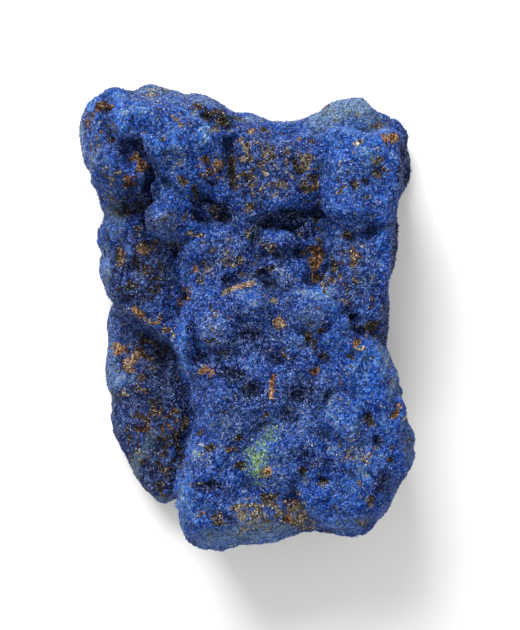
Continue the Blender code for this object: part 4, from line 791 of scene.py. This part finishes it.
def grown_face(points):
    """How much of each mineral the patches give each point of the grown face."""
    chart = wandered(points, (5, 0.9), (1.6, 0.5))
    face = {name: np.full(len(points), amount) for name, amount in BARE_FACE.items()}
    # the tones, partly the azurite's own and partly painted highlights and painted shade
    for x, y, across, along, tone_and_painted_light, *turn in TONES:
        cover = patch_cover(patch_share(chart, x, y, across, along, *turn))
        face["tone_and_painted_light"] += cover * (tone_and_painted_light - face["tone_and_painted_light"])
    for x, y, across, along, amount, pale, *turn in LIMONITE:
        cover = patch_cover(patch_share(chart, x, y, across, along, *turn))
        face["paleness"] += cover * (pale - face["paleness"])
        face["limonite"] = np.maximum(face["limonite"], cover * amount)
    # the wide, thin patches break up into knots, the small rich ones hold together
    held = ease(0.6, 0.9, face["limonite"])
    face["limonite"] *= held + (1 - held) * (0.35 + 1.15 * ease(-0.25, 0.3, fractal_of(points, KNOT, 90)))
    for line, half_width, amount, pale in LIMONITE_SEAMS:
        cover = patch_cover(line_share(chart, line, half_width))
        face["paleness"] += cover * (pale - face["paleness"])
        face["limonite"] = np.maximum(face["limonite"], cover * amount)
    for name, patches in (("malachite", MALACHITE), ("dust_and_glints", DUST_AND_GLINTS), ("film_and_sheen", FILM_AND_SHEEN), ("rust", RUST),
                          ("dull", DULL)):
        for x, y, across, along, amount, *turn in patches:
            cover = patch_cover(patch_share(chart, x, y, across, along, *turn))
            face[name] = np.maximum(face[name], amount * cover)
    crisp = np.full(len(points), 0.5)
    for x, y, across, along, amount, *turn in CRISP:
        crisp += (amount - crisp) * patch_cover(patch_share(chart, x, y, across, along, *turn))
    return face, crisp


def paint_growth(mesh):
    """Keeps on the mesh how much of each mineral grows at each point, and how deep its colour is."""
    points, normals = points_of(mesh), normals_of(mesh)
    broad, broken = fractal_of(points, 7), fractal_of(points, 3, 40)
    level = neighbour_mean(mesh, normals, 12)
    seen = ease(-0.05, 0.35, (level / np.linalg.norm(level, axis=1)[:, None])[:, 2])
    low = 1 - ease(4, 20, points[:, 2])
    back = ease(0.5, 0.9, -normals[:, 2]) * ease(-3, -1, -points[:, 2])
    # the hidden sides are a broken mix of all but malachite, their azurite a little darker and more washed
    # low down, and the back is broken limonite
    limonite = np.clip(0.3 + 0.3 * low + 0.9 * broken, 0, 1)
    hidden = {
        "limonite": np.maximum(limonite, back * (0.85 + 0.4 * broken)),
        "paleness": np.clip(0.42 + 0.5 * broad, 0, 1),
        "tone_and_painted_light": np.clip(0.5 + 0.5 * broad - 0.1 * low, 0, 1),
        "dust_and_glints": 0.12 + 0.2 * broken, "film_and_sheen": 0.15 * low, "malachite": 0.0,
        "rust": ease(0.1, 0.5, broad), "dull": 0.35 + 0.3 * broken,
    }
    face, crisp = grown_face(points)
    grown = {}
    for name, there in face.items():
        grown[name] = np.clip(hidden[name] + seen * (there - hidden[name]), 0, 1)
    # how sunk or proud each point lies: the finishes paint shade into what is sunk, and crests are painted
    # lighter as a highlight
    near, far = sunk(mesh, points, normals, 6), sunk(mesh, points, normals, 60)
    grown["hollow"] = np.clip(ease(0.02, 0.3, near) * 0.6 + ease(0.1, 1.6, far) * 0.8, 0, 1)
    grown["crest"] = ease(0.0, 0.35, -near) * 0.5 + ease(0.1, 1.2, -far) * 0.5
    crisp = (0.4 + seen * (crisp - 0.4)) * ease(-0.5, 0.35, broken + 0.15)
    grown["crisp"] = crisp
    for name, values in grown.items():
        store(mesh, name, values)
    # how thick each kind of loose grain lies: none on the worn back, and in clumps
    bare, clumps = (1 - back) * ease(0.5, 1.6, points[:, 2]), ease(-0.35, 0.45, broken)
    needles = (0.25 + 0.75 * crisp) * (1 - ease(0.3, 0.8, grown["limonite"])) * (1 - grown["malachite"])
    return {
        "needles": needles * (1 - 0.85 * grown["film_and_sheen"]) * bare,
        "limonite": ease(0.45, 0.85, grown["limonite"]) * (0.4 + 0.6 * clumps) * bare,
        "pale": (0.2 + 0.8 * crisp) * grown["dust_and_glints"] * (0.3 + 0.7 * clumps) * bare,
        "malachite": grown["malachite"] * (0.4 + 0.6 * clumps),
    }


# The finish of the crust: azurite grown as a velvet of fine glassy crystals, which is deep and matt at a
# glance, with crumbs of limonite, clay and malachite between them, which are duller and rougher. The real
# crystals are 0.05 to 0.3 mm wide, too fine to show. They are drawn coarser, as grains and glints.
GRAIN, GLINT = 0.6 * MM, 0.32 * MM
STIR, STIR_REACH = 0.8 * MM, 0.9 * MM  # how widely and how far the grains are drawn out
MOTTLE, BLOTCH = 1.2 * MM, 4 * MM  # the width of the small and the large changes of depth
DEEP, PALE = 0.9, 0.66  # how far single grains go towards navy, partly painted shade, and towards pale blue, painted glints
SHADOW, SHADOW_OF_HOLLOWS = "#08080F", 0.58  # painted shade in the gaps between grains, and how far painted shade fills the hollows
FILM_AND_SHEEN_SHARE = 0.75  # how far the thickest film and painted sheen hide what is under them
AZURITE_IOR = 1.73  # the lowest of azurite's own, which run from 1.73 to 1.84


def weighed(tree, start, parts):
    """The start, and each value times its share added to it."""
    for value, share in parts:
        start = add_node(tree, "ShaderNodeMath", {0: value, 1: share, 2: start},
                         operation="MULTIPLY_ADD").outputs[0]
    return start


def laid_over(tree, colour, layers):
    """A colour with others laid over it one by one, each as far as its share says."""
    for share, above in layers:
        above = paint(above) if isinstance(above, str) else above
        colour = add_node(tree, "ShaderNodeMix", {"Factor": share, 6: colour, 7: above},
                          data_type="RGBA").outputs[2]
    return colour


def kept_on(tree, *names):
    """What the mesh keeps under each of these names, as outputs."""
    return [add_node(tree, "ShaderNodeAttribute", attribute_name=name).outputs["Fac"] for name in names]


def crust_finish():
    """Azurite velvet, in which each grain is of the mineral that grows most there."""
    made = bpy.data.materials.new("azurite_on_limonite")
    made.use_nodes = True
    tree = made.node_tree
    surface = tree.nodes["Principled BSDF"]
    place = add_node(tree, "ShaderNodeTexCoord").outputs["Object"]
    in_limonite, paleness, dust_and_glints, film_and_sheen, in_malachite = kept_on(
        tree, "limonite", "paleness", "dust_and_glints", "film_and_sheen", "malachite")
    tone_and_painted_light, rust, dull, hollow, crest, crisp = kept_on(
        tree, "tone_and_painted_light", "rust", "dull", "hollow", "crest", "crisp")
    # grains and glints, drawn out unevenly, and the wider mottling
    stir = add_node(tree, "ShaderNodeTexNoise", {"Vector": place, "Scale": 1 / STIR, "Detail": 3.0})
    stir = add_node(tree, "ShaderNodeVectorMath", {0: stir.outputs["Color"], "Scale": STIR_REACH},
                    operation="SCALE")
    stirred = add_node(tree, "ShaderNodeVectorMath", {0: place, 1: stir.outputs[0]},
                       operation="ADD").outputs[0]
    grains = add_node(tree, "ShaderNodeTexVoronoi", {"Vector": stirred, "Scale": 1 / GRAIN})
    glints = add_node(tree, "ShaderNodeTexVoronoi", {"Vector": stirred, "Scale": 1 / GLINT})
    grain = add_node(tree, "ShaderNodeSeparateColor", {"Color": grains.outputs["Color"]}).outputs
    glint = add_node(tree, "ShaderNodeSeparateColor", {"Color": glints.outputs["Color"]}).outputs
    mottle, blotch, knot = (
        add_node(tree, "ShaderNodeTexNoise", {
            "Vector": place, "Scale": 1 / size, "Detail": detail, "Roughness": rough}).outputs["Fac"]
        for size, detail, rough in ((MOTTLE, 4.0, 0.68), (BLOTCH, 3.0, 0.5), (KNOT * MM, 1.5, 0.5)))
    # how far each grain stands off its neighbours, less where the crystals lie smooth
    lively = add_node(tree, "ShaderNodeMapRange", {
        "Value": crisp, "To Min": 0.6, "To Max": 1.1}).outputs["Result"]
    off = weighed(tree, -0.14, ((grain[0], 0.16), (glint[0], 0.12)))

    # azurite: near black navy, ultramarine and cobalt. Its near black in pits is partly painted shade, its
    # cobalt on lit ridges partly painted highlight, and crests are drawn lighter as a painted highlight.
    depth = weighed(tree, -0.66, ((off, lively),))
    depth = weighed(tree, depth, ((tone_and_painted_light, 0.62), (crest, 0.12), (mottle, 0.5), (knot, 0.66), (blotch, 0.5)))
    azurite = add_node(tree, "ShaderNodeValToRGB", {"Fac": depth}, stops=[
        (0.0, "#04050C"), (0.2, "#050C26"), (0.38, "#082264"), (0.55, "#0A42A4"), (0.73, "#1064CA"),
        (0.88, "#2A84DA"), (1.0, "#7CB2E6")]).outputs["Color"]
    weathered = add_node(tree, "ShaderNodeValToRGB", {"Fac": depth}, stops=[
        (0.0, "#060608"), (0.25, "#12161E"), (0.45, "#28324A"), (0.62, "#46587E"), (0.8, "#76869C"),
        (1.0, "#B4B6AA")]).outputs["Color"]
    worn = weighed(tree, -1.36, ((dull, 0.9), (grain[2], 0.2), (knot, 1.6), (blotch, 1.1)))
    # single grains: at random some are painted deep navy, partly as painted shade, and some paler, as
    # painted glints where they would catch the light
    lit = weighed(tree, 0.0, ((glint[0], 0.6), (grain[0], 0.4)))
    single = []
    for low, high, most in ((0.48, 0.1, DEEP), (0.56, 0.95, PALE)):
        share = add_node(tree, "ShaderNodeMapRange", {
            "Value": lit, "From Min": low, "From Max": high, "To Max": most}).outputs["Result"]
        single.append(add_node(tree, "ShaderNodeMath", {0: share, 1: lively}, operation="MULTIPLY",
                               use_clamp=True).outputs[0])
    azurite = laid_over(tree, azurite, (
        (worn, weathered), (single[0], "#030A4A"), (single[1], "#82A0E8")))

    # limonite: umber, which in pits is partly painted shade, olive and ochre crumbs, cream clay, and rusty
    # patches
    depth = weighed(tree, -0.72, ((paleness, 0.8), (mottle, 0.6), (grain[1], 0.4), (glint[1], 0.5)))
    olive = add_node(tree, "ShaderNodeValToRGB", {"Fac": depth}, stops=[
        (0.0, "#0C0A09"), (0.2, "#25201B"), (0.4, "#463F35"), (0.55, "#665B4B"), (0.72, "#8E8472"),
        (0.88, "#B9B2A2"), (1.0, "#E2DED4")]).outputs["Color"]
    rusted = add_node(tree, "ShaderNodeValToRGB", {"Fac": depth}, stops=[
        (0.0, "#100A08"), (0.2, "#3A2318"), (0.4, "#704426"), (0.55, "#9A6238"), (0.72, "#BE9064"),
        (0.88, "#D8BC96"), (1.0, "#EFE4D0")]).outputs["Color"]
    rusty = weighed(tree, -0.2, ((rust, 1.0), (glint[2], 0.4)))
    limonite = laid_over(tree, olive, ((rusty, rusted),))
    # clouded quartz and clay, whose pale blue-white grains are partly painted glints, and malachite from
    # blue-green to pale green
    pale = add_node(tree, "ShaderNodeValToRGB", {"Fac": glint[1]}, stops=[
        (0.0, "#34508E"), (0.35, "#6680AE"), (0.6, "#8494B4"), (0.8, "#9C9C9C"), (0.9, "#9CB0D2"),
        (1.0, "#D8E0EC")]).outputs["Color"]
    ripe = weighed(tree, 0.0, ((glint[1], 0.5), (mottle, 0.3), (in_malachite, 0.25)))
    green = add_node(tree, "ShaderNodeValToRGB", {"Fac": ripe}, stops=[
        (0.15, "#26403C"), (0.35, "#587A62"), (0.55, "#7F9E6E"), (0.75, "#9AC492"),
        (0.95, "#DDE8CC")]).outputs["Color"]

    # which mineral each grain is: the more there is of one, the more of the grains are of it
    layers = []
    for what, amount, soft, start, chances in (
            (pale, dust_and_glints, 0.06, 0.5, ((glint[2], -0.55), (knot, -1.5))),
            (limonite, in_limonite, 0.14, 0.75, ((grain[2], -0.16), (mottle, -0.8), (knot, -1.6))),
            (green, in_malachite, 0.14, 0.4, ((grain[0], -0.5), (glint[0], -0.4), (mottle, -0.9)))):
        ahead = add_node(tree, "ShaderNodeMath", {0: amount, 1: start}, operation="ADD").outputs[0]
        ahead = weighed(tree, ahead, chances)
        where = add_node(tree, "ShaderNodeMapRange", {"Value": ahead, "From Min": -soft, "From Max": soft})
        layers.append((where.outputs["Result"], what))
    # the clay film with its painted sheen, and painted shade in the gaps between the grains and on the
    # floors of the hollows
    wash = add_node(tree, "ShaderNodeMath", {0: film_and_sheen, 1: FILM_AND_SHEEN_SHARE}, operation="MULTIPLY").outputs[0]
    painted_gap_shade = add_node(tree, "ShaderNodeMapRange", {
        "Value": grains.outputs["Distance"], "From Min": 0.38, "From Max": 0.75, "To Max": 0.65})
    painted_hollow_shade = add_node(tree, "ShaderNodeMath", {0: hollow, 1: SHADOW_OF_HOLLOWS},
                    operation="MULTIPLY").outputs[0]
    layers += [(wash, "#8CA8BC"), (painted_gap_shade.outputs["Result"], SHADOW), (painted_hollow_shade, SHADOW)]
    tree.links.new(laid_over(tree, azurite, layers), surface.inputs["Base Color"])

    # crystals glisten a little, crumbs are dull, and the nap of fine crystals is paler at a glance
    rough = add_node(tree, "ShaderNodeMapRange", {"Value": in_limonite, "To Min": 0.5, "To Max": 0.85})
    tree.links.new(rough.outputs["Result"], surface.inputs["Roughness"])
    surface.inputs["IOR"].default_value = AZURITE_IOR
    surface.inputs["Specular IOR Level"].default_value = 0.04
    surface.inputs["Sheen Weight"].default_value = 0.02
    surface.inputs["Sheen Roughness"].default_value = 0.35
    surface.inputs["Sheen Tint"].default_value = paint("#7FAEFF")
    relief = weighed(tree, 0.0, ((grains.outputs["Distance"], -0.3 * MM),
                                 (glints.outputs["Distance"], -0.2 * MM), (mottle, 0.5 * MM)))
    bump = add_node(tree, "ShaderNodeBump", {"Height": relief, "Distance": 1.0, "Strength": 1.0})
    tree.links.new(bump.outputs["Normal"], surface.inputs["Normal"])
    return made


growth = paint_growth(crust.data)
crust.data.materials.append(crust_finish())
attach(crust, "root")
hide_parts("azurite_specimen")


# The azurite needles: tens of thousands of splinters half a millimetre long that lie over the crust like a
# nap, thickest where it is cleanest. They grew out of it, with their feet in it, and ride with it.
NEEDLES = {"Per Square Metre": 6.4e6, "Smallest": 0.35 * MM, "Largest": 0.85 * MM, "Least Lean": 0.9,
           "Most Lean": 1.5}


def scatter_tree(name, shape, sizes, material, seed):
    """Scatters a shape over a mesh, as thick as the mesh's own "share" says, leaning over on its foot."""
    tree, start, end = new_tree(name + "_scatter", sizes)
    share = add_node(tree, "GeometryNodeInputNamedAttribute", {"Name": "share"}, data_type="FLOAT")
    thick = add_node(tree, "ShaderNodeMath", {
        0: share.outputs["Attribute"], 1: start.outputs["Per Square Metre"]}, operation="MULTIPLY")
    spread = add_node(tree, "GeometryNodeDistributePointsOnFaces", {
        "Mesh": start.outputs["Geometry"], "Density": thick.outputs[0], "Seed": seed})
    size = add_node(tree, "FunctionNodeRandomValue", {
        2: start.outputs["Smallest"], 3: start.outputs["Largest"], "Seed": seed + 1}, data_type="FLOAT")
    low = add_node(tree, "ShaderNodeCombineXYZ", {0: start.outputs["Least Lean"], 1: 0.0, 2: 0.0})
    high = add_node(tree, "ShaderNodeCombineXYZ", {0: start.outputs["Most Lean"], 1: 0.0, 2: 2 * pi})
    turn = add_node(tree, "FunctionNodeRandomValue", {
        0: low.outputs[0], 1: high.outputs[0], "Seed": seed + 2}, data_type="FLOAT_VECTOR")
    aimed = add_node(tree, "FunctionNodeRotateRotation", {
        "Rotation": spread.outputs["Rotation"], "Rotate By": turn.outputs[0]}, rotation_space="LOCAL")
    put = add_node(tree, "GeometryNodeInstanceOnPoints", {
        "Points": spread.outputs["Points"], "Instance": shape(tree), "Rotation": aimed.outputs["Rotation"],
        "Scale": size.outputs[1]})
    shade = add_node(tree, "FunctionNodeRandomValue", {2: 0.0, 3: 1.0, "Seed": seed + 3}, data_type="FLOAT")
    kept = add_node(tree, "GeometryNodeStoreNamedAttribute", {
        "Geometry": put.outputs["Instances"], "Name": "shade", "Value": shade.outputs[1]},
        data_type="FLOAT", domain="INSTANCE")
    real = add_node(tree, "GeometryNodeRealizeInstances", {"Geometry": kept.outputs["Geometry"]})
    coated = add_node(tree, "GeometryNodeSetMaterial", {
        "Geometry": real.outputs["Geometry"], "Material": material})
    tree.links.new(coated.outputs["Geometry"], end.inputs["Geometry"])
    return tree


def scatter(name, share, shape, sizes, material, seed):
    """Makes a piece of one shape scattered over the crust, as thick as share says at each of its points."""
    piece = bpy.data.objects.new(name, crust.data.copy())
    bpy.context.scene.collection.objects.link(piece)
    store(piece.data, "share", share)
    grow(piece, scatter_tree(name, shape, sizes, material, seed), sizes)
    return piece


def pointed(tree, half_width, length, sink):
    """A three-sided point that stands on the ground, with its foot sunk a little into it."""
    made = add_node(tree, "GeometryNodeMeshCone", {
        "Vertices": 3, "Radius Top": 0.0, "Radius Bottom": half_width, "Depth": length})
    return add_node(tree, "GeometryNodeTransform", {
        "Geometry": made.outputs["Mesh"], "Translation": (0, 0, -sink)}).outputs["Geometry"]


def splinter(tree):
    """A needle one unit long."""
    return pointed(tree, half_width=0.17, length=1.0, sink=0.15)


def needle_finish():
    """Azurite's own glassy faces, navy to cobalt, which catch the light one by one. At random some are
    painted deep navy, partly as shade, and some pale as glints; those in hollows get painted shade.
    """
    made = bpy.data.materials.new("azurite_crystal")
    made.use_nodes = True
    tree = made.node_tree
    surface = tree.nodes["Principled BSDF"]
    tone_and_painted_light, shade, hollow, dull = kept_on(tree, "tone_and_painted_light", "shade", "hollow", "dull")
    place = add_node(tree, "ShaderNodeTexCoord").outputs["Object"]
    knot = add_node(tree, "ShaderNodeTexNoise", {
        "Vector": place, "Scale": 1 / (KNOT * MM), "Detail": 1.5, "Roughness": 0.5}).outputs["Fac"]
    blotch = add_node(tree, "ShaderNodeTexNoise", {
        "Vector": place, "Scale": 1 / BLOTCH, "Detail": 3.0}).outputs["Fac"]
    # the needles take the crust's tone, with its painted highlights and painted shade
    depth = weighed(tree, -0.5, ((tone_and_painted_light, 0.66), (shade, 0.3), (knot, 0.66), (blotch, 0.45)))
    blue = add_node(tree, "ShaderNodeValToRGB", {"Fac": depth}, stops=[
        (0.0, "#04050C"), (0.22, "#050E30"), (0.42, "#082A72"), (0.62, "#0A4AB0"), (0.8, "#126AD2"),
        (0.92, "#388CE0"), (1.0, "#90BCEA")]).outputs["Color"]
    grey = add_node(tree, "ShaderNodeValToRGB", {"Fac": depth}, stops=[
        (0.0, "#060608"), (0.35, "#1C2434"), (0.6, "#46587C"), (0.8, "#76869C"),
        (1.0, "#B8BAB0")]).outputs["Color"]
    worn = weighed(tree, -1.22, ((dull, 0.8), (knot, 1.5), (blotch, 1.0)))
    # at random some needles are drawn deep navy, partly as painted shade, and some pale, as painted glints
    deepest = add_node(tree, "ShaderNodeMapRange", {
        "Value": shade, "From Min": 0.45, "From Max": 0.0, "To Max": 0.85}).outputs["Result"]
    painted_glint = add_node(tree, "ShaderNodeMapRange", {
        "Value": shade, "From Min": 0.6, "From Max": 1.0, "To Max": 0.72}).outputs["Result"]
    glint_colour = laid_over(tree, paint("#7C9CEA"), ((worn, "#AEB2B0"),))
    # painted shade on needles that lie in hollows
    painted_hollow_shade = add_node(tree, "ShaderNodeMath", {0: hollow, 1: SHADOW_OF_HOLLOWS},
                    operation="MULTIPLY").outputs[0]
    colour = laid_over(tree, blue, ((worn, grey), (deepest, "#030A4E"), (painted_glint, glint_colour), (painted_hollow_shade, SHADOW)))
    tree.links.new(colour, surface.inputs["Base Color"])
    surface.inputs["Roughness"].default_value = 0.3
    surface.inputs["IOR"].default_value = AZURITE_IOR
    surface.inputs["Specular IOR Level"].default_value = 0.09
    return made


azurite_needles = scatter("azurite_needles", growth["needles"], splinter, NEEDLES, needle_finish(), seed=11)
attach(azurite_needles, "root")


# The pale grains: chips of clouded quartz and clay, a quarter of a millimetre across, caught between the
# needles. They glisten dully, white or bluish, and their pale blue-white shades are partly painted glints.
PALE_GRAINS = {"Per Square Metre": 6e6, "Smallest": 0.2 * MM, "Largest": 0.36 * MM, "Least Lean": 0.0,
               "Most Lean": 3.0}
GRAIN_SHADOW, GRAINS_IN_HOLLOWS = "#0A0A12", 0.7  # the shade on grains in hollows, and how far it goes
GRAIN_IOR = 1.55  # quartz's own, which also stands in for limonite's and malachite's


def chip(tree):
    """A four-cornered chip about one unit across."""
    return pointed(tree, half_width=0.55, length=0.7, sink=0.25)


def grain_finish(name, roughness, colours, own=1.0, deep=(), rusty=None):
    """Loose mineral grains, each of its own shade, deeper or paler with what the crust keeps there, with
    painted shade where they lie in hollows.
    """
    made = bpy.data.materials.new(name)
    made.use_nodes = True
    tree = made.node_tree
    surface = tree.nodes["Principled BSDF"]
    shade, hollow = kept_on(tree, "shade", "hollow")
    depth = add_node(tree, "ShaderNodeMath", {0: shade, 1: own}, operation="MULTIPLY").outputs[0]
    depth = weighed(tree, depth, [(kept_on(tree, attribute)[0], share) for attribute, share in deep])
    colour = add_node(tree, "ShaderNodeValToRGB", {"Fac": depth}, stops=colours).outputs["Color"]
    if rusty:
        red = add_node(tree, "ShaderNodeValToRGB", {"Fac": depth}, stops=rusty).outputs["Color"]
        colour = laid_over(tree, colour, ((kept_on(tree, "rust")[0], red),))
    # painted shade on grains that lie in hollows
    painted_hollow_shade = add_node(tree, "ShaderNodeMath", {0: hollow, 1: GRAINS_IN_HOLLOWS}, operation="MULTIPLY")
    colour = laid_over(tree, colour, ((painted_hollow_shade.outputs[0], GRAIN_SHADOW),))
    tree.links.new(colour, surface.inputs["Base Color"])
    surface.inputs["Roughness"].default_value = roughness
    surface.inputs["IOR"].default_value = GRAIN_IOR
    surface.inputs["Specular IOR Level"].default_value = 0.2
    return made


pale_grains = scatter("pale_grains", growth["pale"], chip, PALE_GRAINS, grain_finish(
    "quartz_clay_and_glint_grain", 0.5, [
        (0.0, "#3E589A"), (0.35, "#6E88B8"), (0.6, "#8C9CBC"), (0.78, "#A4A29C"), (0.9, "#9EB4DA"),
        (1.0, "#E0E6F0")]), seed=23)
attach(pale_grains, "root")


# The limonite crumbs: iron ore that the azurite grew on, fallen to crumbs of a third of a millimetre. They
# are earthy and matt, olive or rusty, and lie where the crust shows limonite.
LIMONITE_CRUMBS = {"Per Square Metre": 7e6, "Smallest": 0.25 * MM, "Largest": 0.5 * MM, "Least Lean": 0.0,
                   "Most Lean": 3.0}
limonite_crumbs = scatter("limonite_crumbs", growth["limonite"], chip, LIMONITE_CRUMBS, grain_finish(
    "limonite_crumb", 0.85, [
        (0.0, "#0E0C0B"), (0.2, "#221E1B"), (0.4, "#403A33"), (0.58, "#61584C"), (0.75, "#847A6B"),
        (0.9, "#A59C8C"), (1.0, "#CCC5B6")],
    own=0.95, deep=(("paleness", 0.5), ("tone_and_painted_light", -0.26)), rusty=[
        (0.0, "#120B08"), (0.2, "#341F14"), (0.4, "#6A3B1E"), (0.58, "#985A30"), (0.75, "#A6774E"),
        (0.9, "#BD9870"), (1.0, "#D2BA9C")]), seed=37)
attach(limonite_crumbs, "root")


# The malachite: a tuft of green crumbs on the lower front, and a few strays. It grew on the azurite as
# silky green grains, a little glossier than the limonite.
MALACHITE_CRUMBS = {"Per Square Metre": 9e6, "Smallest": 0.2 * MM, "Largest": 0.45 * MM, "Least Lean": 0.0,
                    "Most Lean": 3.0}
malachite_crumbs = scatter("malachite_crumbs", growth["malachite"], chip, MALACHITE_CRUMBS, grain_finish(
    "malachite_crumb", 0.6, [
        (0.0, "#26403C"), (0.3, "#4E7460"), (0.6, "#7A9E70"), (0.85, "#A0C898"),
        (1.0, "#DDE8CC")]), seed=41)
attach(malachite_crumbs, "root")


# The bench: a sheet of plain off-white paper that the stone lies on. It isn't part of the stone, and the
# stone only rests on it by its worn back.
PAPER_HALF, PAPER_GAP = 600 * MM, 0.05 * MM  # half its width, and how far under the worn back it lies
paper = bpy.data.objects.new("bench_paper", bpy.data.meshes.new("bench_paper"))
bpy.context.scene.collection.objects.link(paper)
sheet = bmesh.new()
bmesh.ops.create_grid(sheet, size=PAPER_HALF, matrix=Matrix.Translation((0, 0, -PAPER_GAP)))
sheet.to_mesh(paper.data)
sheet.free()
# uncoated paper: matt and nearly white
uncoated = bpy.data.materials.new("uncoated_paper")
uncoated.use_nodes = True
uncoated.node_tree.nodes["Principled BSDF"].inputs["Base Color"].default_value = paint("#F7F7F6")
uncoated.node_tree.nodes["Principled BSDF"].inputs["Roughness"].default_value = 0.9
paper.data.materials.append(uncoated)


# The light: an even white room, a wide soft window beyond the stone's upper left, and a weak soft fill
# from the lower right. None of it is part of the stone.
room = bpy.data.worlds.new("white_room")
bpy.context.scene.world = room
room.use_nodes = True
room.node_tree.nodes["Background"].inputs["Color"].default_value = (1, 1, 1, 1)
room.node_tree.nodes["Background"].inputs["Strength"].default_value = 0.5
for name, place, size, power in (
        ("window", Vector((-0.16, 0.4, 0.4)), 0.3, 4.5),
        ("fill", Vector((0.1, -0.3, 0.6)), 0.5, 1.2)):
    light = bpy.data.lights.new(name, "AREA")
    light.shape = "SQUARE"
    light.size = size
    light.energy = power
    lamp = bpy.data.objects.new(name, light)
    bpy.context.scene.collection.objects.link(lamp)
    lamp.location = place
    lamp.rotation_euler = place.to_track_quat("Z", "Y").to_euler()
bpy.context.scene.view_settings.view_transform = "Standard"


# The camera: where the magnifier stands, 290 mm straight above the stone and looking down on it. It isn't
# part of the stone.
LENS = 70.97  # in millimetres
camera = bpy.data.objects.new("camera", bpy.data.cameras.new("camera"))
bpy.context.scene.collection.objects.link(camera)
camera.data.lens = LENS
camera.data.clip_start = 0.01
camera.location = MAGNIFIER * MM
bpy.context.scene.camera = camera
